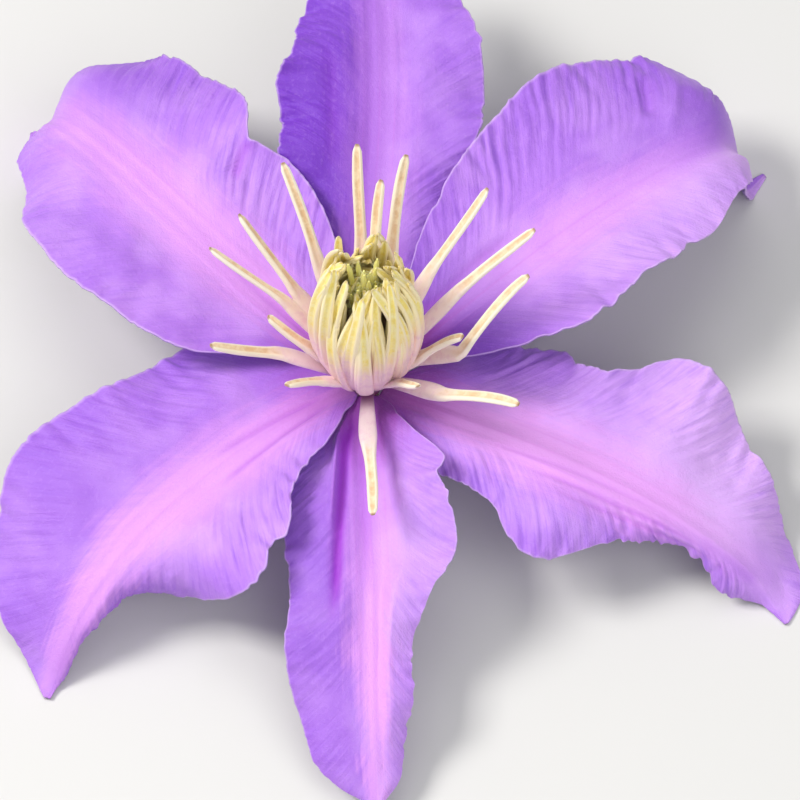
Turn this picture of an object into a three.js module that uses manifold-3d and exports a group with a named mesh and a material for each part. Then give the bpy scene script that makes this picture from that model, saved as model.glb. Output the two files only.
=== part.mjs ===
// A large-flowered clematis bloom with six sepals, picked with a short piece of its stalk.
// It lies face up on the bent-down ends of its sepals. Millimetres, +Z up.
// The origin lies on the surface it rests on, under the middle of the flower's box.
import * as THREE from "three";
import { mergeVertices } from "three/addons/utils/BufferGeometryUtils.js";
import Module from "manifold-3d";

const wasm = await Module();
wasm.setup();

// Driving sizes of the whole flower
const HEART_HEIGHT = 11; // the level at which the sepals join the receptacle
const SEPAL_THICKNESS = 0.6;
const SEAT_GAP = 0.3; // clearance between pieces that touch on the real flower
const SEED = 20;

// Receptacle and stalk
const RECEPTACLE_RADIUS = 1.8;
const RECEPTACLE_TOP = HEART_HEIGHT + 1.2;
const STALK_RADIUS = 1.15;
const STALK_END = 1.6; // height of the cut end above the surface
const STALK_SIDES = 16;

// Sepals. A reach is [start, full, fade, end], as shares of a sepal's length.
const ROOT_RADIUS = RECEPTACLE_RADIUS + 0.4; // where each root starts, out from the axis
const ROOT_HALF_WIDTH = 0.95;
const TIP_HALF_WIDTH = 0.4;
const MIDRIB_STEPS = 120;
const ROWS = 24; // cells along a sepal
const COLUMN_SHARES = [0, 0.07, 0.16, 0.3, 0.48, 0.68, 0.86, 1]; // of the half width, from the midrib
const HELD_REACH = [0.01, 0.1, 0.42, 0.62]; // where a margin lies over or under its neighbour
const WAVE_REACH = [0.25, 0.5, 0.86, 1];
const WAVE_POWER = 2.2; // how soon a wave fades from the margin inwards
const TROUGH_REACH = [0, 0.15, 0.55, 1];
const TROUGH_FLOOR = 0.1; // shares of the half width at which the trough's side starts and ends
const TROUGH_BRIM = 0.42;
const RIB_REACH = [0, 0.1, 0.7, 0.95];
const RIB_HEIGHT = 0.22;
const RIB_SPACING = 1.9; // from the midrib to the rib on each side of it
const RIB_HALF_WIDTH = 0.8;

// Stamens
const COLLAR_INNER = 1.5;
const COLLAR_OUTER = 2.6;
const COLLAR_BOTTOM = RECEPTACLE_TOP + SEAT_GAP;
const COLLAR_HEIGHT = 1.8;
const COLLAR_LIP = 0.4;
const COLLAR_SIDES = 24;
const STAMEN_SEGMENTS = 6;
const STAMEN_THICKNESS = 0.75;
const STAMEN_ROOT_RADIUS = 2;
const STAMEN_ROOT_HEIGHT = COLLAR_BOTTOM + 0.5;
const SPREAD_WIDTH = [1.45, 1.7]; // the least and the most that is drawn
const SPREAD_BOW = [0.5, 2];
const SPREAD_SWAY = 0.8;
const ERECT_WIDTH = [1.75, 2];

// A stamen's width at shares of its length, as a share of its nominal width: narrow at the root,
// a flat strap to past its middle, and blunt at the anther's end.
const STAMEN_WIDTHS = [[0, 0.8], [0.2, 1.1], [0.45, 1.15], [0.6, 0.95], [0.85, 0.9], [1, 0.5]];

// Styles
const OVARY_RADIUS = COLLAR_INNER - SEAT_GAP - 0.1;
const OVARY_HEIGHT = 6;
const OVARY_NECK = 0.8;
const OVARY_SIDES = 10;
const STYLE_COUNT = 13;
const STYLE_LENGTH = 20;
const STYLE_WIDTH = 0.95;
const STYLE_TIP_WIDTH = 0.65;
const STYLE_SEGMENTS = 4;

const COLORS = {
  lilac: 0xb98af2,
  cream: 0xf0e7ab,
  styleGreen: 0xc9cc63,
  stalkGreen: 0x7f8a4c,
};

// The sepals, from the top of the flower clockwise as seen from above.
// rootAngle and heading are the compass angles of the root and of the midrib in degrees.
// slope and turn are the midrib's climb and its sideways bend in degrees, as pairs that start
// with the distance from the root in mm. left is the half that lies counterclockwise:
// margin is its half width, curl how far it bends up from the midrib to the margin in degrees,
// and lift how far that margin is held over or under its neighbour near the heart.
// wave is [height in mm, waves along the sepal, phase], and puff, where a half has one, is
// [height, start, end] of a swelling between the midrib and the margin.
const SEPALS = [
  {
    name: "sepal_top",
    rootAngle: 90,
    heading: 90,
    rootRise: 0,
    length: 65,
    slope: [[0, 20], [17, 16], [33, 10], [49, 0], [65, -36]],
    turn: [[0, 0], [22, -4], [44, 2], [65, 4]],
    trough: 0.5,
    left: {
      margin: [[9, 6.5], [18, 10.5], [28, 12.3], [32, 12.1], [38, 12.8], [42, 10.8], [47, 10.2],
        [53, 7.8], [59, 4.6]],
      curl: [[0, 0], [17, -8], [33, 4], [49, -10], [65, -40]],
      wave: [0.8, 5, 0.1],
      lift: -1,
    },
    right: {
      margin: [[9, 6], [18, 8.8], [26, 10.2], [31, 12.5], [37, 13.1], [44, 12.3], [51, 9.6], [58, 6]],
      curl: [[0, 0], [17, -6], [33, 0], [49, -10], [65, -40]],
      wave: [0.8, 4, 0.5],
      lift: -1,
    },
  },
  {
    name: "sepal_upper_right",
    rootAngle: 30,
    heading: 37,
    rootRise: 0.9,
    length: 74.5,
    slope: [[0, 14], [18, 10], [34, 4], [48, -10], [60.5, -78], [68.5, -72], [74.5, -10]],
    turn: [[0, 0], [23, 1], [46, -4], [60, 3], [74, 12]],
    trough: 0.5,
    left: {
      margin: [[7, 5], [13, 9.5], [19, 13], [25, 15.3], [31, 17.2], [37, 18.8], [43, 18.9], [49, 17.8],
        [56, 15.7], [62, 11], [67, 4.5], [70.5, 1.8]],
      curl: [[0, 8], [18, 16], [34, 12], [46, -2], [58, 0], [74, -5]],
      wave: [0.9, 4, 0.1],
      puff: [2.8, 44, 70],
      lift: 1,
    },
    right: {
      margin: [[3, 1.9], [5.8, 3.1], [8.4, 6.4], [12.3, 8.8], [15, 10.3], [21, 13.2], [28, 13.2],
        [35, 12.6], [41, 11.2], [45, 10.4], [51, 7], [60, 4.2], [67, 2.2], [70.5, 1.3]],
      curl: [[0, 8], [18, 14], [34, 10], [50, -20], [66, -50], [74, -5]],
      wave: [0.7, 4, 0.45],
      lift: 1,
    },
  },
  {
    name: "sepal_lower_right",
    rootAngle: -30,
    heading: -29,
    rootRise: 0,
    length: 60.5,
    slope: [[0, 14], [15, 6], [29, -8], [44, -28], [57, -42], [60.5, -20]],
    turn: [[0, 0], [20, 3], [39, 4], [51, 0], [60, -36]],
    trough: 0.5,
    left: {
      margin: [[2, 3.2], [4, 7.2], [5.6, 10], [8, 12], [13, 13.2], [18, 14.6], [22, 13.1], [27, 14.6],
        [31, 18.6], [35, 18.9], [40, 17.2], [44, 14.6], [48, 12], [52, 9.9], [55.5, 7.2], [58.5, 4]],
      curl: [[0, 0], [15, -8], [29, 8], [44, 0], [58, -30]],
      wave: [0.9, 5, 0.3],
      lift: -1,
    },
    right: {
      margin: [[4, 3.6], [8, 6.4], [12, 8], [19, 8.9], [23, 12.2], [27, 13.3], [30, 11.6], [35, 6.8],
        [42, 4.4], [48, 3.9], [53, 4.6], [56, 3.2]],
      curl: [[0, 0], [15, -8], [29, -20], [44, -100], [58, -90]],
      wave: [0.8, 4, 0],
      lift: -1,
    },
  },
  {
    name: "sepal_bottom",
    rootAngle: -90,
    heading: -91,
    rootRise: 0.3,
    length: 54.5,
    slope: [[0, 16], [15, 4], [28, -10], [41, -24], [54, -34]],
    turn: [[0, 0], [19, 4], [37, 1], [54, 5]],
    trough: 1.1,
    left: {
      margin: [[7, 5.8], [12, 9.6], [14.6, 8.7], [17, 9.6], [24, 10], [29, 6.7], [37, 4.8], [46, 4.4],
        [51.5, 3]],
      curl: [[0, 10], [15, 14], [28, -10], [41, -40], [54, -50]],
      wave: [0.6, 4, 0.3],
      lift: 1,
    },
    right: {
      margin: [[4, 3.8], [8, 7.2], [12, 9.2], [17, 10.4], [26, 10.3], [41.5, 10.2], [45, 9.1],
        [49, 7.4], [52, 4.6]],
      curl: [[0, 6], [15, -6], [28, -14], [41, -30], [54, -50]],
      wave: [0.5, 4, 0.6],
      lift: -1,
    },
  },
  {
    name: "sepal_lower_left",
    rootAngle: 210,
    heading: 215,
    rootRise: 0.6,
    length: 57.5,
    slope: [[0, 14], [15, 6], [29, -8], [42, -32], [55, -48], [57.5, -20]],
    turn: [[0, 0], [19, 7], [38, 11], [56, 34]],
    trough: 0.5,
    left: {
      margin: [[3, 2.6], [5, 4.4], [9, 6.5], [13, 7.6], [17, 9.7], [21.7, 13.8], [23.7, 13.2],
        [26.5, 15], [29.5, 14.6], [33.5, 12], [37.5, 10.5], [41.5, 5.8], [47.5, 4], [52.5, 2.8]],
      curl: [[0, 8], [15, 14], [29, -10], [42, -140], [56, -120]],
      wave: [0.8, 4, 0.2],
      lift: 1,
    },
    right: {
      margin: [[2, 3.4], [4, 7.4], [6.5, 12], [8.7, 14.9], [11, 16.8], [15, 17.3], [21, 17.2],
        [27, 18.2], [33, 19.1], [38.5, 18.2], [44.5, 15.2], [49.5, 10.5], [53.5, 5.6]],
      curl: [[0, 8], [15, -8], [29, 6], [42, -10], [56, -30]],
      wave: [0.7, 4, 0.7],
      lift: -1,
    },
  },
  {
    name: "sepal_upper_left",
    rootAngle: 150,
    heading: 140,
    rootRise: 0.9,
    length: 74,
    slope: [[0, 14], [17, 10], [34, 4], [47, -14], [60, -78], [68, -72], [74, -10]],
    turn: [[0, 0], [23, -4], [45, -8], [58, -14], [74, -24]],
    trough: 0.5,
    left: {
      margin: [[3, 2], [6, 3.6], [9.5, 7.5], [12.6, 11.4], [15, 13.9], [18, 15.4], [23, 16.3], [33, 17],
        [41, 14.9], [48, 11], [57, 6.9], [67, 4.4]],
      curl: [[0, 8], [17, 14], [34, 8], [50, -38], [66, -60], [74, -5]],
      wave: [0.7, 4, 0.2],
      lift: 1,
    },
    right: {
      margin: [[6, 5], [11.5, 10], [17.5, 13.1], [24, 14.4], [30.5, 13.5], [34, 16.2], [38.5, 17],
        [44, 16.2], [50, 15], [56, 14.3], [62, 10.4], [68, 5.6]],
      curl: [[0, 8], [17, 18], [34, 14], [46, -4], [58, 0], [74, -5]],
      wave: [0.9, 4, 0.6],
      puff: [3.2, 46, 72],
      lift: 1,
    },
  },
];

// The spread stamens: [compass angle, climb, length, knee], taken round the flower. The knee is how
// far a stamen stands out to the left of its plain course, in mm, half way along.
const SPREAD_STAMENS = [
  [121, 50, 30, 0.3], [93, 56, 31, 0.1], [82, 63, 28, 0], [73, 57, 30.5, -0.3],
  [40, 52, 30.5, 0.4], [24, 43, 30, 0.3], [6, 46, 28, -4.4], [-16, 52, 19.5, -0.5],
  [-35, 34, 26.5, -1.1], [-57, 52, 19, 0.3], [-88, 21, 26, 0.1], [-133, 48, 21, 0.1],
  [-162, 42, 26, -0.6], [-176, 53, 19.5, 0.1], [161, 45, 28, -0.4], [144, 47, 27.5, 0.3],
];

// The erect stamens, in rings round the styles: how many, how far they bulge out, their height
// over the heart, how far their ends lean back in, and the turn of the ring.
const ERECT_RINGS = [
  { count: 16, bulge: 4.4, height: 26.5, closing: 3, turn: 0 },
  { count: 11, bulge: 2.9, height: 24.5, closing: 1.6, turn: 12 },
];

const radians = THREE.MathUtils.degToRad;
const rise = THREE.MathUtils.smoothstep;

// A curve through [distance, value] pairs, read at one distance.
function through(pairs, at) {
  const last = pairs.length - 1;
  if (at <= pairs[0][0]) return pairs[0][1];
  if (at >= pairs[last][0]) return pairs[last][1];
  const k = pairs.findIndex((pair) => pair[0] > at) - 1;
  const slope = (i) => {
    const a = pairs[Math.max(i - 1, 0)];
    const b = pairs[Math.min(i + 1, last)];
    return (b[1] - a[1]) / (b[0] - a[0]);
  };
  const span = pairs[k + 1][0] - pairs[k][0];
  const u = (at - pairs[k][0]) / span;
  return (
    pairs[k][1] * (2 * u ** 3 - 3 * u ** 2 + 1) +
    pairs[k + 1][1] * (3 * u ** 2 - 2 * u ** 3) +
    slope(k) * span * (u ** 3 - 2 * u ** 2 + u) +
    slope(k + 1) * span * (u ** 3 - u ** 2)
  );
}

// 1 inside a reach, 0 outside it, and smooth between.
function within([start, full, fade, end], along) {
  return rise(along, start, full) * (1 - rise(along, fade, end));
}

// A value between the least and the most of a pair.
function drawn([least, most], draw) {
  return least + (most - least) * draw();
}

// Seeded draws between 0 and 1, so that every build gives the same flower.
function makeDraw(seed) {
  let state = seed;
  return () => {
    state = (state * 16807) % 2147483647;
    return state / 2147483647;
  };
}

function polar(angle, radius, height) {
  return new THREE.Vector3(radius * Math.cos(angle), radius * Math.sin(angle), height);
}

// The midrib as points with the directions across the blade and out of its face.
function midribOf(sepal) {
  const step = sepal.length / MIDRIB_STEPS;
  const at = polar(radians(sepal.rootAngle), ROOT_RADIUS, HEART_HEIGHT + sepal.rootRise);
  const anglesAt = (distance) => [
    radians(through(sepal.slope, distance)),
    radians(sepal.heading + through(sepal.turn, distance)),
  ];
  const stations = [];
  for (let i = 0; i <= MIDRIB_STEPS; i += 1) {
    const [climb, compass] = anglesAt(i * step);
    stations.push({
      point: at.clone(),
      across: new THREE.Vector3(-Math.sin(compass), Math.cos(compass), 0),
      out: new THREE.Vector3(
        -Math.sin(climb) * Math.cos(compass),
        -Math.sin(climb) * Math.sin(compass),
        Math.cos(climb),
      ),
    });
    const [nextClimb, nextCompass] = anglesAt((i + 0.5) * step);
    at.x += step * Math.cos(nextClimb) * Math.cos(nextCompass);
    at.y += step * Math.cos(nextClimb) * Math.sin(nextCompass);
    at.z += step * Math.sin(nextClimb);
  }
  return stations;
}

// The height of the blade above its plain curled form: the held margins, the waves, the swelling,
// the shallow trough along the middle and the three ribs in it. share is 0 at the midrib and 1 at
// the margin.
function reliefAt(sepal, side, distance, share, width) {
  const along = distance / sepal.length;
  const held = side.lift * share ** 2 * within(HELD_REACH, along);
  const [waveHeight, waveCount, wavePhase] = side.wave;
  const turns = waveCount * along + wavePhase;
  const wave = waveHeight * share ** WAVE_POWER * within(WAVE_REACH, along) * Math.sin(2 * Math.PI * turns);
  const [puffHeight, puffStart, puffEnd] = side.puff ?? [0, 0, 1];
  const inPuff = THREE.MathUtils.clamp((distance - puffStart) / (puffEnd - puffStart), 0, 1);
  const puff = puffHeight * Math.sin(Math.PI * inPuff) ** 2 * Math.sin(Math.PI * share);
  const inTrough = (1 - rise(share, TROUGH_FLOOR, TROUGH_BRIM)) * within(TROUGH_REACH, along);
  const rib = (centre) => Math.max(0, 1 - Math.abs(share * width - centre) / RIB_HALF_WIDTH);
  const ribs = RIB_HEIGHT * (rib(0) + rib(RIB_SPACING)) * within(RIB_REACH, along);
  return held + wave + puff - sepal.trough * inTrough + ribs;
}

// A point of the upper face. share runs from -1 at the right margin to 1 at the left margin.
function facePoint(sepal, midrib, distance, share) {
  const place = THREE.MathUtils.clamp((distance / sepal.length) * MIDRIB_STEPS, 0, MIDRIB_STEPS);
  const i = Math.min(Math.floor(place), MIDRIB_STEPS - 1);
  const mix = (key) => midrib[i][key].clone().lerp(midrib[i + 1][key], place - i);
  const side = share < 0 ? sepal.right : sepal.left;
  const reach = Math.abs(share);
  const margin = [[0, ROOT_HALF_WIDTH], ...side.margin, [sepal.length, TIP_HALF_WIDTH]];
  const width = through(margin, distance);
  const leastBend = 0.1; // a flat stretch is bent a little, so that its radius stays finite
  const bend = radians(through(side.curl, distance) || leastBend);
  const relief = reliefAt(sepal, side, distance, reach, width);
  const sideways = (width * Math.sin(bend * reach)) / bend - relief * Math.sin(bend * reach);
  const height = (width * (1 - Math.cos(bend * reach))) / bend + relief * Math.cos(bend * reach);
  return mix("point")
    .addScaledVector(mix("across"), Math.sign(share) * sideways)
    .addScaledVector(mix("out"), height);
}

// One sepal as a closed thin blade. Both faces are split alike, and what would reach below the
// surface the flower lies on is flattened on it.
function sepalGeometry(sepal) {
  const midrib = midribOf(sepal);
  const nudge = 0.02;
  const shares = [...COLUMN_SHARES.slice(1).reverse().map((share) => -share), ...COLUMN_SHARES];
  const columns = shares.length;
  const upper = [];
  const lower = [];
  for (let row = 0; row <= ROWS; row += 1) {
    const distance = (sepal.length * row) / ROWS;
    for (const share of shares) {
      const top = facePoint(sepal, midrib, distance, share);
      const before = Math.max(distance - nudge, 0);
      const after = Math.min(distance + nudge, sepal.length);
      const along = facePoint(sepal, midrib, after, share).sub(facePoint(sepal, midrib, before, share));
      const inner = Math.max(share - nudge, -1);
      const outer = Math.min(share + nudge, 1);
      const across = facePoint(sepal, midrib, distance, outer).sub(facePoint(sepal, midrib, distance, inner));
      const normal = along.cross(across).normalize();
      const bottom = top.clone().addScaledVector(normal, -SEPAL_THICKNESS);
      top.z = Math.max(top.z, SEPAL_THICKNESS);
      bottom.z = Math.max(bottom.z, 0);
      upper.push(top);
      lower.push(bottom);
    }
  }
  return closedBlade(upper, lower, columns);
}

// Joins two like grids of points, an upper and a lower face, into one closed mesh.
function closedBlade(upper, lower, columns) {
  const rows = upper.length / columns;
  const position = [...upper, ...lower].flatMap((p) => p.toArray());
  const index = [];
  const quad = (a, b, c, d) => index.push(a, b, c, a, c, d);
  const top = (row, column) => row * columns + column;
  const bottom = (row, column) => upper.length + row * columns + column;
  for (let r = 0; r < rows - 1; r += 1) {
    for (let c = 0; c < columns - 1; c += 1) {
      quad(top(r, c), top(r + 1, c), top(r + 1, c + 1), top(r, c + 1));
      index.push(bottom(r, c), bottom(r + 1, c + 1), bottom(r + 1, c));
      index.push(bottom(r, c), bottom(r, c + 1), bottom(r + 1, c + 1));
    }
    quad(top(r, 0), bottom(r, 0), bottom(r + 1, 0), top(r + 1, 0));
    quad(bottom(r, columns - 1), top(r, columns - 1), top(r + 1, columns - 1), bottom(r + 1, columns - 1));
  }
  for (let c = 0; c < columns - 1; c += 1) {
    quad(bottom(0, c), top(0, c), top(0, c + 1), bottom(0, c + 1));
    quad(top(rows - 1, c), bottom(rows - 1, c), bottom(rows - 1, c + 1), top(rows - 1, c + 1));
  }
  return indexed(position, index);
}

function indexed(position, index) {
  const geometry = new THREE.BufferGeometry();
  geometry.setAttribute("position", new THREE.Float32BufferAttribute(position, 3));
  geometry.setIndex(index);
  return geometry;
}

// A strap with a diamond section along a curve. sizes gives its width and thickness at each share
// of its length, and across is the direction of its width.
function strapGeometry(curve, across, segments, sizes) {
  const position = [];
  for (let i = 0; i <= segments; i += 1) {
    const share = i / segments;
    const centre = curve.getPoint(share);
    const forward = curve.getTangent(share);
    const thick = new THREE.Vector3().crossVectors(forward, across).normalize();
    const wide = new THREE.Vector3().crossVectors(thick, forward);
    const [width, thickness] = sizes(share);
    const corners = [[1, 0], [0, 1], [-1, 0], [0, -1]];
    for (const [u, v] of corners) {
      const corner = centre.clone();
      corner.addScaledVector(wide, (u * width) / 2).addScaledVector(thick, (v * thickness) / 2);
      position.push(...corner.toArray());
    }
  }
  const index = [];
  for (let i = 0; i < segments; i += 1) {
    for (let k = 0; k < 4; k += 1) {
      const a = i * 4 + k;
      const b = i * 4 + ((k + 1) % 4);
      index.push(a, b, a + 4, b, b + 4, a + 4);
    }
  }
  const end = segments * 4;
  index.push(0, 2, 1, 0, 3, 2, end, end + 1, end + 2, end, end + 2, end + 3);
  return indexed(position, index);
}

// The width and thickness of a stamen at each share of its length. Its end is thinner.
function stamenSizes(width) {
  return (share) => [width * through(STAMEN_WIDTHS, share), STAMEN_THICKNESS * (share < 1 ? 1 : 0.6)];
}

// One of the stamens that have opened away from the barrel, bowed a little upwards.
function spreadStamen([compass, climb, length, knee], draw) {
  const angle = radians(compass);
  const lean = radians(climb);
  const sideways = polar(angle + Math.PI / 2, 1, 0);
  const start = polar(angle, STAMEN_ROOT_RADIUS, STAMEN_ROOT_HEIGHT);
  const end = polar(angle, length * Math.cos(lean), HEART_HEIGHT + length * Math.sin(lean));
  const middle = start.clone().lerp(end, 0.45);
  middle.z += drawn(SPREAD_BOW, draw);
  middle.addScaledVector(sideways, 2 * knee + drawn([-SPREAD_SWAY, SPREAD_SWAY], draw));
  const curve = new THREE.QuadraticBezierCurve3(start, middle, end);
  return strapGeometry(curve, sideways, STAMEN_SEGMENTS, stamenSizes(drawn(SPREAD_WIDTH, draw)));
}

// One of the stamens that still clasp the styles: it swells out and closes in again above.
function erectStamen(ring, k, draw) {
  const angle = radians(ring.turn + (360 * (k + drawn([-0.15, 0.15], draw))) / ring.count);
  const bulge = ring.bulge * drawn([0.92, 1.08], draw);
  const height = ring.height * drawn([0.88, 1.06], draw);
  const closing = ring.closing * drawn([0.4, 1.6], draw);
  const climb = HEART_HEIGHT + height - STAMEN_ROOT_HEIGHT;
  // How far out of its root circle the stamen is, at shares of its height
  const places = [[0, 0], [0.59 * bulge, 0.15], [0.89 * bulge, 0.35], [bulge, 0.6],
    [bulge - 0.3 * closing, 0.82], [bulge - closing, 1]];
  const curve = new THREE.CatmullRomCurve3(
    places.map(([out, share]) => polar(angle, STAMEN_ROOT_RADIUS + out, STAMEN_ROOT_HEIGHT + share * climb)),
  );
  const sideways = polar(angle + Math.PI / 2, 1, 0);
  return strapGeometry(curve, sideways, STAMEN_SEGMENTS, stamenSizes(drawn(ERECT_WIDTH, draw)));
}

function solidOf(geometry) {
  const plain = geometry.clone();
  plain.deleteAttribute("normal");
  plain.deleteAttribute("uv");
  const merged = mergeVertices(plain, 1e-4);
  const vertProperties = merged.attributes.position.array;
  const triVerts = new Uint32Array(merged.index.array);
  return new wasm.Manifold(new wasm.Mesh({ numProp: 3, vertProperties, triVerts }));
}

// Joins closed shapes that run into each other into one solid, and fills a pocket they seal in.
function joined(geometries) {
  const shells = wasm.Manifold.union(geometries.map(solidOf)).decompose();
  const mesh = wasm.Manifold.compose(shells.filter((shell) => shell.volume() > 0)).getMesh();
  const geometry = new THREE.BufferGeometry();
  geometry.setAttribute("position", new THREE.BufferAttribute(mesh.vertProperties, 3));
  geometry.setIndex(new THREE.BufferAttribute(mesh.triVerts, 1));
  return geometry;
}

// A solid of revolution about Z from [radius, height] pairs.
function turned(profile, sides) {
  const points = profile.map(([radius, height]) => new THREE.Vector2(radius, height));
  return new THREE.LatheGeometry(points, sides).rotateX(Math.PI / 2);
}

// All the stamens, rooted in one collar.
function stamensGeometry() {
  const draw = makeDraw(SEED);
  const top = COLLAR_BOTTOM + COLLAR_HEIGHT;
  const collar = turned(
    [[COLLAR_INNER, COLLAR_BOTTOM], [COLLAR_OUTER, COLLAR_BOTTOM], [COLLAR_OUTER, top - COLLAR_LIP],
      [COLLAR_INNER + COLLAR_LIP, top], [COLLAR_INNER, COLLAR_BOTTOM]],
    COLLAR_SIDES,
  );
  const spread = SPREAD_STAMENS.map((row) => spreadStamen(row, draw));
  const erect = ERECT_RINGS.flatMap((ring) =>
    Array.from({ length: ring.count }, (_, k) => erectStamen(ring, k, draw)),
  );
  return joined([collar, ...spread, ...erect]);
}

// One style, from inside the ovary's top up to its tip.
function styleGeometry(k, bottom, draw) {
  const innerRing = k % 3 === 0;
  const angle = radians((360 * k) / STYLE_COUNT + drawn([0, 20], draw));
  const spread = drawn(innerRing ? [0.7, 1.2] : [1.7, 2.2], draw);
  const length = STYLE_LENGTH * drawn([0.82, 1.07], draw);
  const curve = new THREE.QuadraticBezierCurve3(
    polar(angle, OVARY_RADIUS / 2, bottom + 1),
    polar(angle, OVARY_NECK, bottom + 0.6 * length),
    polar(angle, spread, bottom + length),
  );
  const sideways = polar(angle + Math.PI / 2, 1, 0);
  const widthAt = (share) => STYLE_WIDTH + (STYLE_TIP_WIDTH - STYLE_WIDTH) * share;
  return strapGeometry(curve, sideways, STYLE_SEGMENTS, (share) => [widthAt(share), widthAt(share)]);
}

// The styles stand up from the ovary in the middle and part a little at their ends.
function stylesGeometry() {
  const draw = makeDraw(SEED + 1);
  const bottom = RECEPTACLE_TOP + SEAT_GAP;
  const ovary = turned(
    [[0, bottom], [OVARY_RADIUS, bottom], [OVARY_RADIUS, bottom + OVARY_HEIGHT / 4],
      [OVARY_NECK, bottom + OVARY_HEIGHT], [0, bottom + OVARY_HEIGHT + OVARY_NECK / 2]],
    OVARY_SIDES,
  );
  const styles = Array.from({ length: STYLE_COUNT }, (_, k) => styleGeometry(k, bottom, draw));
  return joined([ovary, ...styles]);
}

// The receptacle and the short cut stalk under it, grown as one.
function stalkGeometry() {
  return turned(
    [[0, STALK_END], [STALK_RADIUS, STALK_END], [STALK_RADIUS, HEART_HEIGHT - 4],
      [STALK_RADIUS + 0.35, HEART_HEIGHT - 2.4], [RECEPTACLE_RADIUS - 0.4, HEART_HEIGHT - 1.3],
      [RECEPTACLE_RADIUS, HEART_HEIGHT - 0.6], [RECEPTACLE_RADIUS, RECEPTACLE_TOP], [0, RECEPTACLE_TOP]],
    STALK_SIDES,
  );
}

function piece(name, geometry, color, roughness) {
  const material = new THREE.MeshStandardMaterial({ color, roughness, metalness: 0 });
  const mesh = new THREE.Mesh(geometry, material);
  mesh.name = name;
  return mesh;
}

const flower = new THREE.Group();
for (const sepal of SEPALS) {
  flower.add(piece(sepal.name, sepalGeometry(sepal), COLORS.lilac, 0.55));
}
flower.add(piece("stamens", stamensGeometry(), COLORS.cream, 0.6));
flower.add(piece("styles", stylesGeometry(), COLORS.styleGreen, 0.6));
flower.add(piece("stalk", stalkGeometry(), COLORS.stalkGreen, 0.65));

// The middle of the flower's box goes over the origin
const box = new THREE.Box3().setFromObject(flower);
flower.position.set(-(box.min.x + box.max.x) / 2, -(box.min.y + box.max.y) / 2, 0);

export default flower;
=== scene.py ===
# The looks of a picked clematis flower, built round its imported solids. Metres, +Z up.
import math

import bpy
import numpy as np
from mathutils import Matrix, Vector


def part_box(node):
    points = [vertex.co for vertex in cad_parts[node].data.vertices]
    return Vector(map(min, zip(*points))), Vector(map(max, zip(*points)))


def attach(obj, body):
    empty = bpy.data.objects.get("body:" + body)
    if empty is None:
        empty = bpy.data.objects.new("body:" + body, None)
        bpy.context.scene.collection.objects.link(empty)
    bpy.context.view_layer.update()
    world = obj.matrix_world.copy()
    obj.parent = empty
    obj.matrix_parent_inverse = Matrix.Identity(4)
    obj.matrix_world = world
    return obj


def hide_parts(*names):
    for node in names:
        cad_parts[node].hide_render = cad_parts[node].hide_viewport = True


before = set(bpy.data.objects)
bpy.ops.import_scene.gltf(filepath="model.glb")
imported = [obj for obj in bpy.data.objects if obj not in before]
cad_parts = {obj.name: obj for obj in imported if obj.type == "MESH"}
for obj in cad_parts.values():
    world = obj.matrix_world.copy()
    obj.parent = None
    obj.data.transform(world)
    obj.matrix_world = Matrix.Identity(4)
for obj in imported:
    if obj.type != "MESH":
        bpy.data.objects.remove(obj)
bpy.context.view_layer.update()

MM = 0.001
SEED = 20
DRAW_FACTOR = 16807
DRAW_MODULUS = 2147483647

# Places that the solids give, in mm
stalk_low, stalk_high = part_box("stalk")
HEART = np.array([(stalk_low.x + stalk_high.x) / 2 / MM, (stalk_low.y + stalk_high.y) / 2 / MM, 11.0])
RECEPTACLE_TOP = stalk_high.z / MM
STALK_END = stalk_low.z / MM

# Receptacle and stalk, in mm. The rings of a cap are shares of its radius, from below upward.
RECEPTACLE_RADIUS = 1.8
STALK_RADIUS = 1.15
STALK_RINGS = 70
STALK_SIDES = 72
STALK_RIBS = 6
STALK_RIB_DEPTH = 0.1
CUT_RINGS = [0.1, 0.3, 0.5, 0.7, 0.92]
CUT_HOLLOW = 0.08
TOP_RINGS = [0.9, 0.5, 0.1]

# Sepals, in mm. A reach is [start, full, fade, end], as shares of a sepal's length.
ROOT_RADIUS = RECEPTACLE_RADIUS + 0.4
ROOT_HALF_WIDTH = 0.95
ROOT_SPREAD = 0.42  # how much wider the roots are than the solids' roots, as a share
ROOT_SPREAD_REACH = [1, 4.5]
TIP_HALF_WIDTH = 0.4
MIDRIB_STEPS = 600
ROWS = 230
COLUMNS_PER_HALF = 58
COLUMN_CROWDING = 0.92  # below 1, columns stand closer together at the margin
BLADE_THICKNESS = 0.42
MARGIN_THICKNESS = 0.2
THINNING_POWER = 6  # how close to the margin a blade thins
LEAST_CURL = 0.1  # degrees
HELD_REACH = [0.01, 0.1, 0.42, 0.62]
WAVE_REACH = [0.25, 0.5, 0.86, 1]
WAVE_POWER = 2.2
TROUGH_REACH = [0, 0.15, 0.55, 1]
TROUGH_FLOOR = 0.1
TROUGH_BRIM = 0.42
RIB_REACH = [0, 0.1, 0.7, 0.95]
RIB_HEIGHT = 0.1
RIB_SPACING = 1.9
RIB_HALF_WIDTH = 0.8
FLOOR_EASE = 1.6  # how softly a sepal lies down on the surface

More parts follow.
